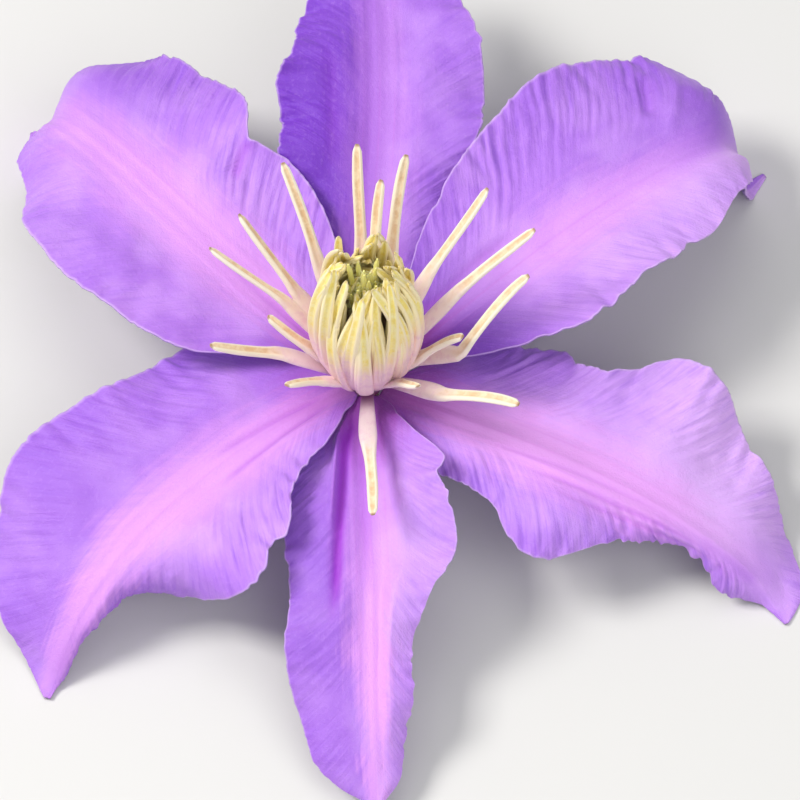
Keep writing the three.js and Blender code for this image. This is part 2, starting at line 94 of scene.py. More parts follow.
# What the solids are too coarse for, in mm. A stretch or a patch is how far one strength lasts.
CREASE_REACH = [0, 0.25, 0.7, 1]  # as shares of a crease's length
RUFFLE_REACH = [0.1, 0.28, 0.84, 1]
RUFFLE_HEIGHT = 0.55
RUFFLE_LENGTH = 3.6
RUFFLE_STRETCH = 13
CRISP_HEIGHT = 0.16
CRISP_LENGTH = 1.5
CRISP_STRETCH = 7
JAG_DEPTH = 0.2  # how far the outline wanders in and out
JAG_LENGTH = 3.2
JAG_STRETCH = 8
FINE_JAG_SHARE = 0.35
FINE_JAG_LENGTH = 1.2
PUCKER_REACH = [0.08, 0.3, 0.92, 1]
PUCKER_ACROSS = [0.2, 0.65]  # where they grow, as shares of a half width
PUCKER_HEIGHT = 0.06
PUCKER_LENGTHS = [1.05, 1.45, 1.9, 2.7]
PUCKER_PATCH = 5
VEIN_SLANT = 0.45  # how far the side veins run forward for each mm that they run outward
VEIN_LEAN = 1.6  # how much further forward they run at first
VEIN_BEND = 4.5  # how far out they have mostly bent outward
VEIN_WANDER = 0.25
VEIN_WANDER_SIZE = 4
UNEVEN_HEIGHT = 0.42
UNEVEN_SIZE = 7
FINE_UNEVEN_HEIGHT = 0.07
FINE_UNEVEN_SIZE = 1.9
SEPAL_SHIFT = 100  # these two keep the veins of two sepals, or of two halves, from being alike
HALF_SHIFT = 40
PAINTED_SHADE_BLEND = [-0.25, 0.15]  # where one half's painted shade and light turns into the other's, as shares of a half width

# Stamens, in mm
COLLAR_INNER = 1.5
COLLAR_OUTER = 2.6
COLLAR_BOTTOM = RECEPTACLE_TOP + 0.3
COLLAR_TOP = COLLAR_BOTTOM + 1.8
COLLAR_SIDES = 64
COLLAR_SECTION = [
    [COLLAR_INNER, COLLAR_BOTTOM],
    [COLLAR_OUTER, COLLAR_BOTTOM],
    [COLLAR_OUTER + 0.1, COLLAR_TOP - 0.9],
    [COLLAR_OUTER - 0.2, COLLAR_TOP - 0.3],
    [COLLAR_INNER + 0.4, COLLAR_TOP],
    [COLLAR_INNER, COLLAR_TOP - 0.4],
]
STAMEN_ROOT_RADIUS = 2
STAMEN_ROOT_HEIGHT = COLLAR_BOTTOM + 0.5
STAMEN_RINGS = 34
STAMEN_WIDTHS = [[0, 0.8], [0.2, 1.2], [0.42, 1.48], [0.53, 1.2], [0.62, 0.96], [0.86, 0.9], [1, 0.72]]
CLASPING_WIDTHS = [[0, 0.85], [0.2, 1.15], [0.45, 1.2], [0.6, 1.06], [0.85, 0.84], [1, 0.55]]
STAMEN_END = [0.96, 0.045]  # where its blunt end begins and how long that is, as shares
SPREAD_WIDTH = [1.45, 1.7]
SPREAD_BOW = [0.5, 2]
SPREAD_BOW_AT = 0.45
SPREAD_SWAY = 0.8
ERECT_WIDTH = [1.75, 2.05]
ERECT_LEAN = 2.1
ERECT_LEAN_POWER = 2.2
KNEE_AT = 0.53  # where a filament meets its anther, as a share of a stamen's length
KNEE_SHARPNESS = 1.5
SPREAD_ANTHER = [KNEE_AT - 0.05, KNEE_AT + 0.03, 0.97, 1]  # reaches, as shares of a stamen's length
ERECT_ANTHER = [0.3, 0.42, 0.97, 1]
TWISTED_KNEE = [KNEE_AT - 0.08, KNEE_AT + 0.1]
SPREAD_WAVE = [0.22, 2.2]  # a soft wave's height and how many half waves a stamen has
SPREAD_NOD = [0.2, 1.5]
ERECT_WAVE = [0.45, 1.7]
STAMEN_STRAPS = {"Section Points": 18, "Flatness": 0.42, "Edge Swelling": 0.22, "Face Groove": 0.26}
THIN_SWEEP = 0.00001  # how wide a strap is swept, before its points are moved out to its own width

# Styles, in mm
OVARY_BOTTOM = RECEPTACLE_TOP + 0.3
OVARY_RADIUS = COLLAR_INNER - 0.4
OVARY_HEIGHT = 6
OVARY_NECK = 0.8
OVARY_SIDES = 32
OVARY_SECTION = [
    [0.05, OVARY_BOTTOM],
    [OVARY_RADIUS, OVARY_BOTTOM],
    [OVARY_RADIUS, OVARY_BOTTOM + OVARY_HEIGHT / 4],
    [OVARY_NECK, OVARY_BOTTOM + OVARY_HEIGHT],
    [0.05, OVARY_BOTTOM + OVARY_HEIGHT + 0.4],
]
STYLE_COUNT = 13
STYLE_LENGTH = 20
STYLE_WIDTH = 0.95
STYLE_TIP_WIDTH = 0.65
STYLE_END = [0.93, 0.075]
STYLE_RINGS = 20
STYLE_LENGTHS = [0.82, 1.07]  # the least and the most, as shares of the length
STYLE_SPREADS = {"near": [0.7, 1.2], "far": [1.7, 2.2], "any": [0.1, 2.6]}  # how far out a tip lies
STYLE_TURNS = [0, 20]  # degrees
INNER_STYLES = 14  # more of them than the solids have
INNER_LENGTHS = [0.95, 1.16]
STYLE_RODS = {"Section Points": 12, "Flatness": 1.0, "Edge Swelling": 0.0, "Face Groove": 0.0}

# Hairs: their number, then their length, thickness and lean, the last in radians
STYLE_HAIRS = {"Per Square Metre": 7.0e6, "Length": 0.75 * MM, "Thickness": 0.05 * MM, "Lean": 1.6,
               "Seed": SEED}
STALK_HAIRS = {"Per Square Metre": 6.0e6, "Length": 0.3 * MM, "Thickness": 0.035 * MM, "Lean": 1.2,
               "Seed": SEED + 3}

# The camera looks down on the flower from its bottom sepal's side
CAMERA_ELEVATION = math.radians(58)
CAMERA_DISTANCE = 600  # mm
CAMERA_CLIP = [0.01, 10]  # metres
PIXELS_PER_MM = 8.2  # at the heart
IMAGE_SIZE = 800
HEART_PIXEL = (367, 382)  # where the heart of the flower lies in the picture
SENSOR = 36.0

# Lights: compass angle and height in degrees, distance and size in metres, power in watts, colour
LIGHTS = {
    "key": [176, 50, 0.9, 0.3, 6.0, (1.0, 0.985, 0.96)],
    "fill": [-58, 42, 1.0, 0.9, 3.9, (0.97, 0.98, 1.0)],
    "top": [90, 75, 1.1, 0.8, 2.0, (1.0, 1.0, 1.0)],
}
STUDIO_COLOR = (0.94, 0.96, 1.0, 1)
STUDIO_STRENGTH = 0.32
FLOOR_HALF = 900  # mm

# The sepals, from the top of the flower clockwise as seen from above.
# root_angle and heading are the compass angles of the root and of the midrib in degrees.
# slope and turn are the midrib's climb and its sideways bend in degrees, as pairs that start
# with the distance from the root in mm. left is the half that lies counterclockwise:
# margin is its half width, curl how far it bends up from the midrib to the margin in degrees,
# and lift how far that margin is held over or under its neighbour near the heart.
# wave is [height in mm, waves along the sepal, phase], and puff, where a half has one, is
# [height, start, end] of a swelling between the midrib and the margin.
# What only the looks have: band is the pink band's strength along the sepal. The flush at the heart is
# magenta, partly the sepal's own and partly painted shade under the stamens, and its key sets how
# strong it is. shade is painted shade and light: how much darker and more violet a half is where it
# lies in shade along the sepal, or how much paler where it is negative and the half lies in light.
# ruffle and pucker are how much a half is ruffled at its margin and puckered along its veins, against
# most, and pucker also sets the darker vein streaks, which hold painted shade of the puckers. A notch
# is [distance, depth, half width] in mm.
# A crease is [line, height, half width, tint]. It runs along a line of [distance, offset] places,
# with offset counted from the midrib and positive to the left, and sinks where its height is
# negative. tint is how much painted shade, in deep magenta, it lays in the crease.
SEPALS = [
    {
        "name": "sepal_top", "root_angle": 90, "heading": 90, "root_rise": 0, "length": 65,
        "slope": [[0, 20], [17, 16], [33, 10], [49, 0], [65, -36]],
        "turn": [[0, 0], [22, -4], [44, 2], [65, 4]],
        "band": [[0, 0.3], [45, 0.3], [65, 0]],
        "band_half_width": 3.0, "flush_and_shade": 1, "trough": 0.5,
        "creases": [
            [[[2, 0.4], [20, 1.2], [44, 0.8]], -0.5, 1.6, 0.1],
            [[[24, 5], [44, 6.4]], -0.35, 1.2, 0.15],
        ],
        "left": {
            "margin": [[9, 6.5], [18, 10.5], [28, 12.3], [32, 12.1], [38, 12.8], [42, 10.8], [47, 10.2],
                [53, 7.8], [59, 4.6]],
            "curl": [[0, 0], [17, -8], [33, 4], [49, -10], [65, -40]],
            "wave": [0.8, 5, 0.1], "lift": -1, "ruffle": 2.0,
            "shade": [[0, 1.0], [30, 1.15], [60, 0.9]],
        },
        "right": {
            "margin": [[9, 6], [18, 8.8], [26, 10.2], [31, 12.5], [37, 13.1], [44, 12.3], [51, 9.6],
                [58, 6]],
            "curl": [[0, 0], [17, -6], [33, 0], [49, -10], [65, -40]],
            "wave": [0.8, 4, 0.5], "lift": -1,
            "shade": [[0, 0.5], [40, 0.4]],
        },
    },
    {
        "name": "sepal_upper_right", "root_angle": 30, "heading": 37, "root_rise": 0.9, "length": 74.5,
        "slope": [[0, 14], [18, 10], [34, 4], [48, -10], [60.5, -78], [68.5, -72], [74.5, -10]],
        "turn": [[0, 0], [23, 1], [46, -4], [60, 3], [74, 12]],
        "band": [[0, 0.1], [14, 0.25], [26, 0.6], [38, 0.55], [52, 0.15], [64, 0]],
        "band_half_width": 2.8, "flush_and_shade": 1.3, "trough": 0.5,
        "creases": [
            [[[50.8, 13.6], [48.5, 10], [46.5, 6.7]], -0.7, 1.1, 0.15],
            [[[54, 12], [50, 7], [47, 3.2]], 0.4, 1.0, 0],
            [[[6, 2.2], [16, 3.4], [26, 3.8]], -0.3, 0.7, 0.3],
        ],
        "left": {
            "margin": [[7, 5], [13, 9.5], [19, 13], [25, 15.3], [31, 17.2], [37, 18.8], [43, 18.9],
                [49, 17.8], [56, 15.7], [62, 11], [67, 4.5], [70.5, 1.8]],
            "curl": [[0, 8], [18, 16], [34, 12], [46, -2], [58, 0], [74, -5]],
            "wave": [0.9, 4, 0.1], "lift": 1, "puff": [2.8, 44, 70], "pucker": 1.8, "ruffle": 0.9,
            "notches": [[50.8, 0.8, 0.9], [19, 0.5, 1.2]],
            "shade": [[0, 0.8], [12, 0.6], [20, 0.15], [26, 0.15], [40, 0.35], [54, 0.6], [62, 0.4]],
        },
        "right": {
            "margin": [[3, 1.9], [5.8, 3.1], [8.4, 6.4], [12.3, 8.8], [15, 10.3], [21, 13.2], [28, 13.2],
                [35, 12.6], [41, 11.2], [45, 10.4], [51, 7], [60, 4.2], [67, 2.2], [70.5, 1.3]],
            "curl": [[0, 8], [18, 14], [34, 10], [50, -20], [66, -50], [74, -5]],
            "wave": [0.7, 4, 0.45], "lift": 1, "pucker": 0.8, "ruffle": 0.9,
            "notches": [[40, 0.9, 0.9], [32, 0.5, 1.2]],
            "shade": [[0, 1.2], [10, 1.0], [17, 0.5], [25, -0.3], [38, -0.6]],
        },
    },
    {
        "name": "sepal_lower_right", "root_angle": -30, "heading": -29, "root_rise": 0, "length": 60.5,
        "slope": [[0, 14], [15, 6], [29, -8], [44, -28], [57, -42], [60.5, -20]],
        "turn": [[0, 0], [20, 3], [39, 4], [51, 0], [60, -36]],
        "band": [[0, 0.95], [36, 0.95], [46, 0.45], [56, 0]],
        "band_half_width": 3.6, "flush_and_shade": 1, "trough": 0.5,
        "creases": [
            [[[20, -3.2], [34, -2.7], [48, -1.4]], -0.2, 0.35, 0.35],
            [[[25, -4.9], [38, -3.5], [48, -2.4]], -0.2, 0.4, 0.3],
            [[[13, -2.2], [26, -1.2], [40, -0.6]], -0.12, 0.3, 0.2],
        ],
        "left": {
            "margin": [[2, 3.2], [4, 7.2], [5.6, 10], [8, 12], [13, 13.2], [18, 14.6], [22, 13.1],
                [27, 14.6], [31, 18.6], [35, 18.9], [40, 17.2], [44, 14.6], [48, 12], [52, 9.9],
                [55.5, 7.2], [58.5, 4]],
            "curl": [[0, 0], [15, -8], [29, 8], [44, 0], [58, -30]],
            "wave": [0.9, 5, 0.3], "lift": -1, "pucker": 1.4, "ruffle": 0.9,
            "notches": [[24.5, 0.6, 1.0], [20.5, 0.4, 0.8]],
            "shade": [[4, 0.3], [18, 0], [30, -0.6], [44, -1.1], [56, -0.2]],
        },
        "right": {
            "margin": [[4, 3.6], [8, 6.4], [12, 8], [19, 8.9], [23, 12.2], [27, 13.3], [30, 11.6],
                [35, 6.8], [42, 4.4], [48, 3.9], [53, 4.6], [56, 3.2]],
            "curl": [[0, 0], [15, -8], [29, -20], [44, -100], [58, -90]],
            "wave": [0.8, 4, 0], "lift": -1, "pucker": 1.9, "ruffle": 1.0,
            "shade": [[6, 0.3], [20, 0.1], [46, 0.2]],
        },
    },
    {
        "name": "sepal_bottom", "root_angle": -90, "heading": -91, "root_rise": 0.3, "length": 54.5,
        "slope": [[0, 16], [15, 4], [28, -10], [41, -24], [54, -34]],
        "turn": [[0, 0], [19, 4], [37, 1], [54, 5]],
        "band": [[0, 0.35], [14, 0.35], [28, 0.7], [40, 0.95], [54, 0.6]],
        "band_half_width": 2.2, "flush_and_shade": 1, "trough": 1.1,
        "creases": [
            [[[1, -1.6], [7.2, -3.5], [16.3, -4.3], [21, -4.8]], 0.75, 0.4, 0],
            [[[2, -1.0], [7.2, -2.5], [16.3, -3.4], [26, -4.3], [34, -5.0]], -0.75, 0.7, 1.15],
            [[[6, -0.4], [16, -0.5], [30, -0.5]], -0.25, 0.8, 0.4],
        ],
        "left": {
            "margin": [[7, 5.8], [12, 9.6], [14.6, 8.7], [17, 9.6], [24, 10], [29, 6.7], [37, 4.8],
                [46, 4.4], [51.5, 3]],
            "curl": [[0, 10], [15, 14], [28, -10], [41, -40], [54, -50]],
            "wave": [0.6, 4, 0.3], "lift": 1, "pucker": 0.8, "ruffle": 0.9,
            "shade": [[4, 0.1], [16, -0.3], [40, -0.2]],
        },
        "right": {
            "margin": [[4, 3.8], [8, 7.2], [12, 9.2], [17, 10.4], [26, 10.3], [41.5, 10.2], [45, 9.1],
                [49, 7.4], [52, 4.6]],
            "curl": [[0, 6], [15, -6], [28, -14], [41, -30], [54, -50]],
            "wave": [0.5, 4, 0.6], "lift": -1, "pucker": 0.9, "ruffle": 0.9,
            "shade": [[6, 0.4], [30, 0.55], [48, 0.4]],
        },
    },
    {
        "name": "sepal_lower_left", "root_angle": 210, "heading": 215, "root_rise": 0.6, "length": 57.5,
        "slope": [[0, 14], [15, 6], [29, -8], [42, -32], [55, -48], [57.5, -20]],
        "turn": [[0, 0], [19, 7], [38, 11], [56, 34]],
        "band": [[0, 0.8], [20, 0.85], [44, 0.85], [57, 0.4]],
        "band_half_width": 3.2, "flush_and_shade": 0.5, "trough": 0.5,
        "creases": [
            [[[2, 0.6], [12, 1.6], [24, 2.4]], -0.2, 0.35, 0.4],
            [[[2, -0.4], [12, -0.9], [22, -1.4]], -0.2, 0.35, 0.4],
            [[[34, 6], [37, 9.5]], 0.35, 0.8, 0],
            [[[40, 4.6], [46, 3.4], [53, 1.8]], -0.35, 0.4, 0.5],
        ],
        "left": {
            "margin": [[3, 2.6], [5, 4.4], [9, 6.5], [13, 7.6], [17, 9.7], [21.7, 13.8], [23.7, 13.2],
                [26.5, 15], [29.5, 14.6], [33.5, 12], [37.5, 10.5], [41.5, 5.8], [47.5, 4], [52.5, 2.8]],
            "curl": [[0, 8], [15, 14], [29, -10], [42, -140], [56, -120]],
            "wave": [0.8, 4, 0.2], "lift": 1, "pucker": 1.9, "ruffle": 1.1,
            "shade": [[4, 0], [20, -0.2], [30, 0], [40, 0.4], [48, 0.9], [56, 0.7]],
        },
        "right": {
            "margin": [[2, 3.4], [4, 7.4], [6.5, 12], [8.7, 14.9], [11, 16.8], [15, 17.3], [21, 17.2],
                [27, 18.2], [33, 19.1], [38.5, 18.2], [44.5, 15.2], [49.5, 10.5], [53.5, 5.6]],
            "curl": [[0, 8], [15, -8], [29, 6], [42, -10], [56, -30]],
            "wave": [0.7, 4, 0.7], "lift": -1, "pucker": 1.1, "ruffle": 0.7,
            "shade": [[10, 0.3], [30, 0.45], [50, 0.4]],
        },
    },
    {
        "name": "sepal_upper_left", "root_angle": 150, "heading": 140, "root_rise": 0.9, "length": 74,
        "slope": [[0, 14], [17, 10], [34, 4], [47, -14], [60, -78], [68, -72], [74, -10]],
        "turn": [[0, 0], [23, -4], [45, -8], [58, -14], [74, -24]],
        "band": [[0, 0.75], [30, 0.85], [50, 0.6], [66, 0.1]],
        "band_half_width": 3.7, "flush_and_shade": 1, "trough": 0.5,
        "creases": [
            [[[30.2, -13], [29.1, -10.3], [27.5, -7.5]], -0.6, 0.9, 0.5],
            [[[32.5, -12], [32, -9], [31, -6]], 0.35, 1.0, 0],
            [[[3, 0], [14, 0.3], [26, 0.3]], -0.2, 0.35, 0.3],
        ],
        "left": {
            "margin": [[3, 2], [6, 3.6], [9.5, 7.5], [12.6, 11.4], [15, 13.9], [18, 15.4], [23, 16.3],
                [33, 17], [41, 14.9], [48, 11], [57, 6.9], [67, 4.4]],
            "curl": [[0, 8], [17, 14], [34, 8], [50, -38], [66, -60], [74, -5]],
            "wave": [0.7, 4, 0.2], "lift": 1, "pucker": 0.9, "ruffle": 0.4,
            "notches": [[59, 0.9, 3.5]],
            "shade": [[10, 0.1], [40, 0.15]],
        },
        "right": {
            "margin": [[6, 5], [11.5, 10], [17.5, 13.1], [24, 14.4], [30.5, 13.5], [34, 16.2], [38.5, 17],
                [44, 16.2], [50, 15], [56, 14.3], [62, 10.4], [68, 5.6]],
            "curl": [[0, 8], [17, 18], [34, 14], [46, -4], [58, 0], [74, -5]],
            "wave": [0.9, 4, 0.6], "lift": 1, "puff": [3.2, 46, 72], "pucker": 2.3, "ruffle": 0.8,
            "notches": [[29.8, 0.6, 0.8]],
            "shade": [[24, 0.1], [38, 0.1], [46, 0.45], [58, 0.35], [66, 0]],
        },
    },
]

# The spread stamens: [compass angle, climb, length, knee], taken round the flower. The knee is how
# far a stamen stands out to the left of its plain course, in mm, where its anther begins.
SPREAD_STAMENS = [
    [121, 50, 30, 0.3], [93, 56, 31, 0.1], [82, 63, 28, 0], [73, 57, 30.5, -0.3],
    [40, 52, 30.5, 0.4], [24, 43, 30, 0.3], [6, 46, 28, -4.4], [-16, 52, 19.5, -0.5],
    [-35, 34, 26.5, -1.1], [-57, 52, 19, 0.3], [-88, 21, 26, 0.1], [-133, 48, 21, 0.1],
    [-162, 42, 26, -0.6], [-176, 53, 19.5, 0.1], [161, 45, 28, -0.4], [144, 47, 27.5, 0.3],
]

# The erect stamens, in rings round the styles: [count, bulge, height, closing, turn]. They bulge
# out, stand so high over the heart and lean back in at their ends, all in mm. turn is in degrees.
# The first two rings are the solids' own, and the rest fill the barrel.
ERECT_RINGS = [
    [16, 4.4, 26.5, 3, 0], [11, 2.9, 24.5, 1.6, 12], [13, 3.7, 25.4, 2.5, 5], [8, 3.2, 24.6, 3.4, 30],
    [13, 4.2, 24, 2.6, 16], [11, 2.8, 22.5, 0.9, 27], [1, 5.2, 27.5, 1, 88], [14, 3.9, 25.2, 2.8, 8],
]
CLIMB_SHARES = [0, 0.15, 0.35, 0.6, 0.82, 1]  # how high an erect stamen has come at even steps


def through(pairs, at):
    """A smooth curve through [place, value] pairs, read at an array of places."""
    places, values = np.array(pairs, float).T
    last = len(places) - 1
    before = np.maximum(np.arange(-1, last), 0)
    after = np.minimum(np.arange(1, last + 2), last)
    slopes = (values[after] - values[before]) / (places[after] - places[before])
    at = np.clip(at, places[0], places[-1])
    k = np.clip(np.searchsorted(places, at, side="right") - 1, 0, last - 1)
    span = places[k + 1] - places[k]
    u = (at - places[k]) / span
    return (
        values[k] * (2 * u**3 - 3 * u**2 + 1)
        + values[k + 1] * (3 * u**2 - 2 * u**3)
        + slopes[k] * span * (u**3 - 2 * u**2 + u)
        + slopes[k + 1] * span * (u**3 - u**2)
    )


def rise(value, low, high):
    """0 below low, 1 above high, and smooth between."""
    u = np.clip((value - low) / (high - low), 0, 1)
    return u * u * (3 - 2 * u)


def within(reach, along):
    """1 inside a reach, 0 outside it, and smooth between."""
    start, full, fade, end = reach
    return rise(along, start, full) * (1 - rise(along, fade, end))


def make_draw(seed):
    """Seeded draws between a least and a most value, the same on every run."""
    state = seed

    def draw(least=0.0, most=1.0):
        nonlocal state
        state = state * DRAW_FACTOR % DRAW_MODULUS
        return least + (most - least) * state / DRAW_MODULUS

    return draw


def polar(angle, radius, height):
    return np.array([radius * math.cos(angle), radius * math.sin(angle), height])


def unit(vectors):
    return vectors / np.maximum(np.linalg.norm(vectors, axis=-1, keepdims=True), 1e-12)


def wander(draw, places, length):
    """An irregular wave between about -1 and 1 along a line of places, with waves about so long."""
    total = np.zeros_like(places)
    waves = (0.62, 0.81, 1.0, 1.27, 1.7)
    for share in waves:
        total += np.sin(2 * math.pi * (places * share / length + draw())) * draw(0.6, 1)
    return total / (0.52 * len(waves))


def mottle(draw, x, y, size):
    """An irregular soft relief between about -1 and 1 over a plane, with spots about so big."""
    total = np.zeros_like(x)
    waves = 7
    for _ in range(waves):
        heading = draw(0, 2 * math.pi)
        reach = size * draw(1.4, 2.6)
        run = x * math.cos(heading) + y * math.sin(heading)
        total += np.sin(2 * math.pi * (run / reach + draw()))
    return total / (0.5 * waves)


class Field:
    """A value that varies over a piece. Sums, products and the like add Math nodes to its tree."""

    def __init__(self, tree, socket):
        self.tree = tree
        self.socket = socket

    def __add__(self, other):
        return self.tree.math("ADD", self, other)

    def __sub__(self, other):
        return self.tree.math("SUBTRACT", self, other)

    def __rsub__(self, other):
        return self.tree.math("SUBTRACT", other, self)

    def __mul__(self, other):
        return self.tree.math("MULTIPLY", self, other)

    def __truediv__(self, other):
        return self.tree.math("DIVIDE", self, other)

    __radd__ = __add__
    __rmul__ = __mul__


class Tree:
    """Adds nodes to a shader's or a modifier's node tree, one call for each."""

    def __init__(self, tree):
        self.tree = tree

    def node(self, kind, settings=None, inputs=None, output=0):
        """One node: its settings first, then its sockets by name or number. Gives one output."""
        made = self.tree.nodes.new(kind)
        for name, value in (settings or {}).items():
            setattr(made, name, value)
        for name, value in (inputs or {}).items():
            self.feed(made.inputs[name], value)
        return Field(self, made.outputs[output])

    def feed(self, socket, value):
        if isinstance(value, Field):
            self.tree.links.new(value.socket, socket)
        else:
            socket.default_value = value

    def math(self, operation, *values):
        return self.node("ShaderNodeMath", {"operation": operation}, dict(enumerate(values)))

    def rise(self, value, low, high):
        """0 below low, 1 above high, and smooth between."""
        inputs = {"Value": value, "From Min": low, "From Max": high}
        return self.node("ShaderNodeMapRange", {"interpolation_type": "SMOOTHSTEP"}, inputs)

    def line(self, place, centre, half_width):
        """1 on a line at a centre, falling to 0 at half a width from it."""
        away = self.math("ABSOLUTE", place - centre)
        return 1 - self.rise(away, 0, half_width)


class Finish(Tree):
    """One procedural material, on a Principled shader."""

    def __init__(self, name):
        self.material = bpy.data.materials.new(name)
        self.material.use_nodes = True
        super().__init__(self.material.node_tree)
        self.tree.nodes.clear()
        self.shader = self.tree.nodes.new("ShaderNodeBsdfPrincipled")
        result = self.tree.nodes.new("ShaderNodeOutputMaterial")
        self.tree.links.new(self.shader.outputs[0], result.inputs["Surface"])

    def attributes(self, *names):
        return [self.node("ShaderNodeAttribute", {"attribute_name": name}, output=2) for name in names]

    def place(self):
        return self.node("ShaderNodeTexCoord", output=3)

    def vector(self, x, y, z=0.0):
        return self.node("ShaderNodeCombineXYZ", None, {"X": x, "Y": y, "Z": z})

    def noise(self, vector, scale=1.0, detail=2.0, roughness=0.5):
        inputs = {"Vector": vector, "Scale": scale, "Detail": detail, "Roughness": roughness}
        return self.node("ShaderNodeTexNoise", None, inputs)

    def mix(self, factor, first, second):
        """A blend of two colours."""
        inputs = {0: factor, 6: first, 7: second}
        return self.node("ShaderNodeMix", {"data_type": "RGBA"}, inputs, output=2)

    def coated(self, shade, *coats):
        """A colour under coats, each a strength and a colour of its own."""
        for strength, coat in coats:
            shade = self.mix(strength, shade, coat)
        return shade

    def bump(self, height, distance, strength):
        inputs = {"Height": height, "Distance": distance, "Strength": strength}
        return self.node("ShaderNodeBump", None, inputs)

    def wear(self, **inputs):
        """Sets the shader's own sockets, by their names with underscores."""
        for name, value in inputs.items():
            self.feed(self.shader.inputs[name.replace("_", " ").title().replace("Ior", "IOR")], value)
        return self.material


def color(red, green, blue):
    """A colour as it looks, from 0 to 255, turned to the linear values that a shader takes."""
    levels = [level / 255 for level in (red, green, blue)]
    return (*[((level + 0.055) / 1.055) ** 2.4 if level > 0.04 else level / 12.92 for level in levels], 1)


def sepal_finish():
    """Lilac with a pink band down the middle, and darker veins that run out to the margin, with
    painted shade and light over the halves, in the creases and at the heart.
    """
    paint = Finish("sepal")
    distance, offset, share, along, vein, under = paint.attributes(
        "distance", "offset", "share", "along", "vein", "under"
    )
    band, band_width, shade, flush_and_shade, vein_and_pucker_shading, crease = paint.attributes(
        "band", "band_width", "shade", "flush_and_shade", "vein_and_pucker_shading", "crease"
    )
    away = paint.math("ABSOLUTE", offset)
    streaks = paint.noise(paint.vector(distance * 0.1, offset * 1.5, vein * 0.004), 1.0, 3.0, 0.6)
    patches = paint.noise(paint.vector(distance * 0.15, offset * 0.15, vein * 0.004))
    vein_streaks = paint.noise(paint.vector(vein * 0.75, away * 0.09), 1.0, 4.0, 0.62)
    fine_veins = paint.noise(paint.vector(vein * 2.6, away * 0.22), 1.0, 2.0, 0.6)
    net = paint.noise(paint.vector(distance * 1.7, offset * 1.7), 1.0, 3.0, 0.65)
    grain = paint.noise(paint.vector(distance * 8, offset * 8))

    lilac = paint.mix(paint.rise(patches, 0.35, 0.65), color(192, 134, 240), color(212, 158, 250))
    pink = color(235, 165, 246)
    deep_violet = color(140, 80, 214)
    outer = paint.rise(share + (vein_streaks - 0.5) * 0.5, 0.3, 1.3)
    taper = paint.rise(along, 0.0, 0.3) * (1 - paint.rise(along, 0.42, 0.95) * 0.75)
    feather = (streaks - 0.5) * 4.0 + (vein_streaks - 0.5) * 2.6 + (patches - 0.5) * 3.6
    in_band = 1 - paint.rise((away + feather) / (band_width * (0.3 + 0.9 * taper)), 0.2, 1.9)
    main_veins = paint.line(away, 0, 0.26) + paint.line(away, RIB_SPACING, 0.22) * 0.8
    broken = paint.rise(streaks, 0.3, 0.62) * (1 - paint.rise(along, 0.4, 0.8))
    # magenta at the heart, partly the sepal's own and partly painted shade under the stamens; the close one
    # is deeper
    wide_flush = 1 - paint.rise(distance + away * 0.8 + (streaks - 0.5) * 9, 0, 17)
    close_flush_and_shade = 1 - paint.rise(distance + away * 0.4 + (streaks - 0.5) * 5, 5, 11)
    # darker vein streaks: the veins' own colour and painted shade of the puckers, so they grow with the
    # puckering
    vein_and_pucker_shade_strength = vein_and_pucker_shading * paint.rise(share, 0.28, 0.8)
    upper = paint.coated(
        lilac,
        (outer * 0.4, color(168, 112, 234)),
        # painted light where shade is negative, and painted shade where it is positive
        (shade * -0.8, color(230, 184, 255)),
        (shade * 0.85, color(122, 58, 198)),
        (in_band * band * 0.92, pink),
        (main_veins * broken * 0.2, color(206, 104, 218)),
        # magenta at the heart, deepened by painted shade under the stamens
        (wide_flush * flush_and_shade * 0.62, color(184, 78, 192)),
        (close_flush_and_shade * flush_and_shade * 0.4, color(140, 44, 142)),
        # vein streaks, partly the veins' own colour and partly painted shade of the puckers
        (paint.rise(vein_streaks, 0.48, 0.76) * 0.26 * vein_and_pucker_shade_strength, deep_violet),
        (paint.rise(fine_veins, 0.48, 0.74) * 0.15 * vein_and_pucker_shade_strength, deep_violet),
        (paint.rise(net, 0.5, 0.75) * 0.12, color(226, 178, 255)),
        # painted shade in the creases
        (crease * 0.8, color(160, 44, 204)),
        # pale rim at the margin: partly the thin margin's own paler colour and partly a painted edge
        # highlight
        (paint.rise(share, 0.972, 1.0) * 0.5, color(228, 198, 250)),
    )
    greyer = paint.mix(paint.rise(net, 0.35, 0.7), color(150, 118, 190), color(178, 150, 214))
    lower = paint.mix(main_veins * 0.6, greyer, color(146, 140, 120))
    outward = 0.25 + 0.75 * paint.rise(share, 0.2, 0.7)
    height = (vein_streaks * 0.9 + fine_veins * 0.5) * outward + net * 0.55 + grain * 0.35 + streaks * 0.3
    return paint.wear(
        base_color=paint.mix(under, upper, lower),
        roughness=0.46 + (net - 0.5) * 0.2,
        normal=paint.bump(height, 0.00022, 0.75),
        subsurface_weight=0.1,
        subsurface_radius=(1.0, 0.6, 1.0),
        subsurface_scale=0.001,
        sheen_weight=0.18,
        sheen_roughness=0.4,
        sheen_tint=color(236, 216, 255),
        specular_ior_level=0.3,
    )


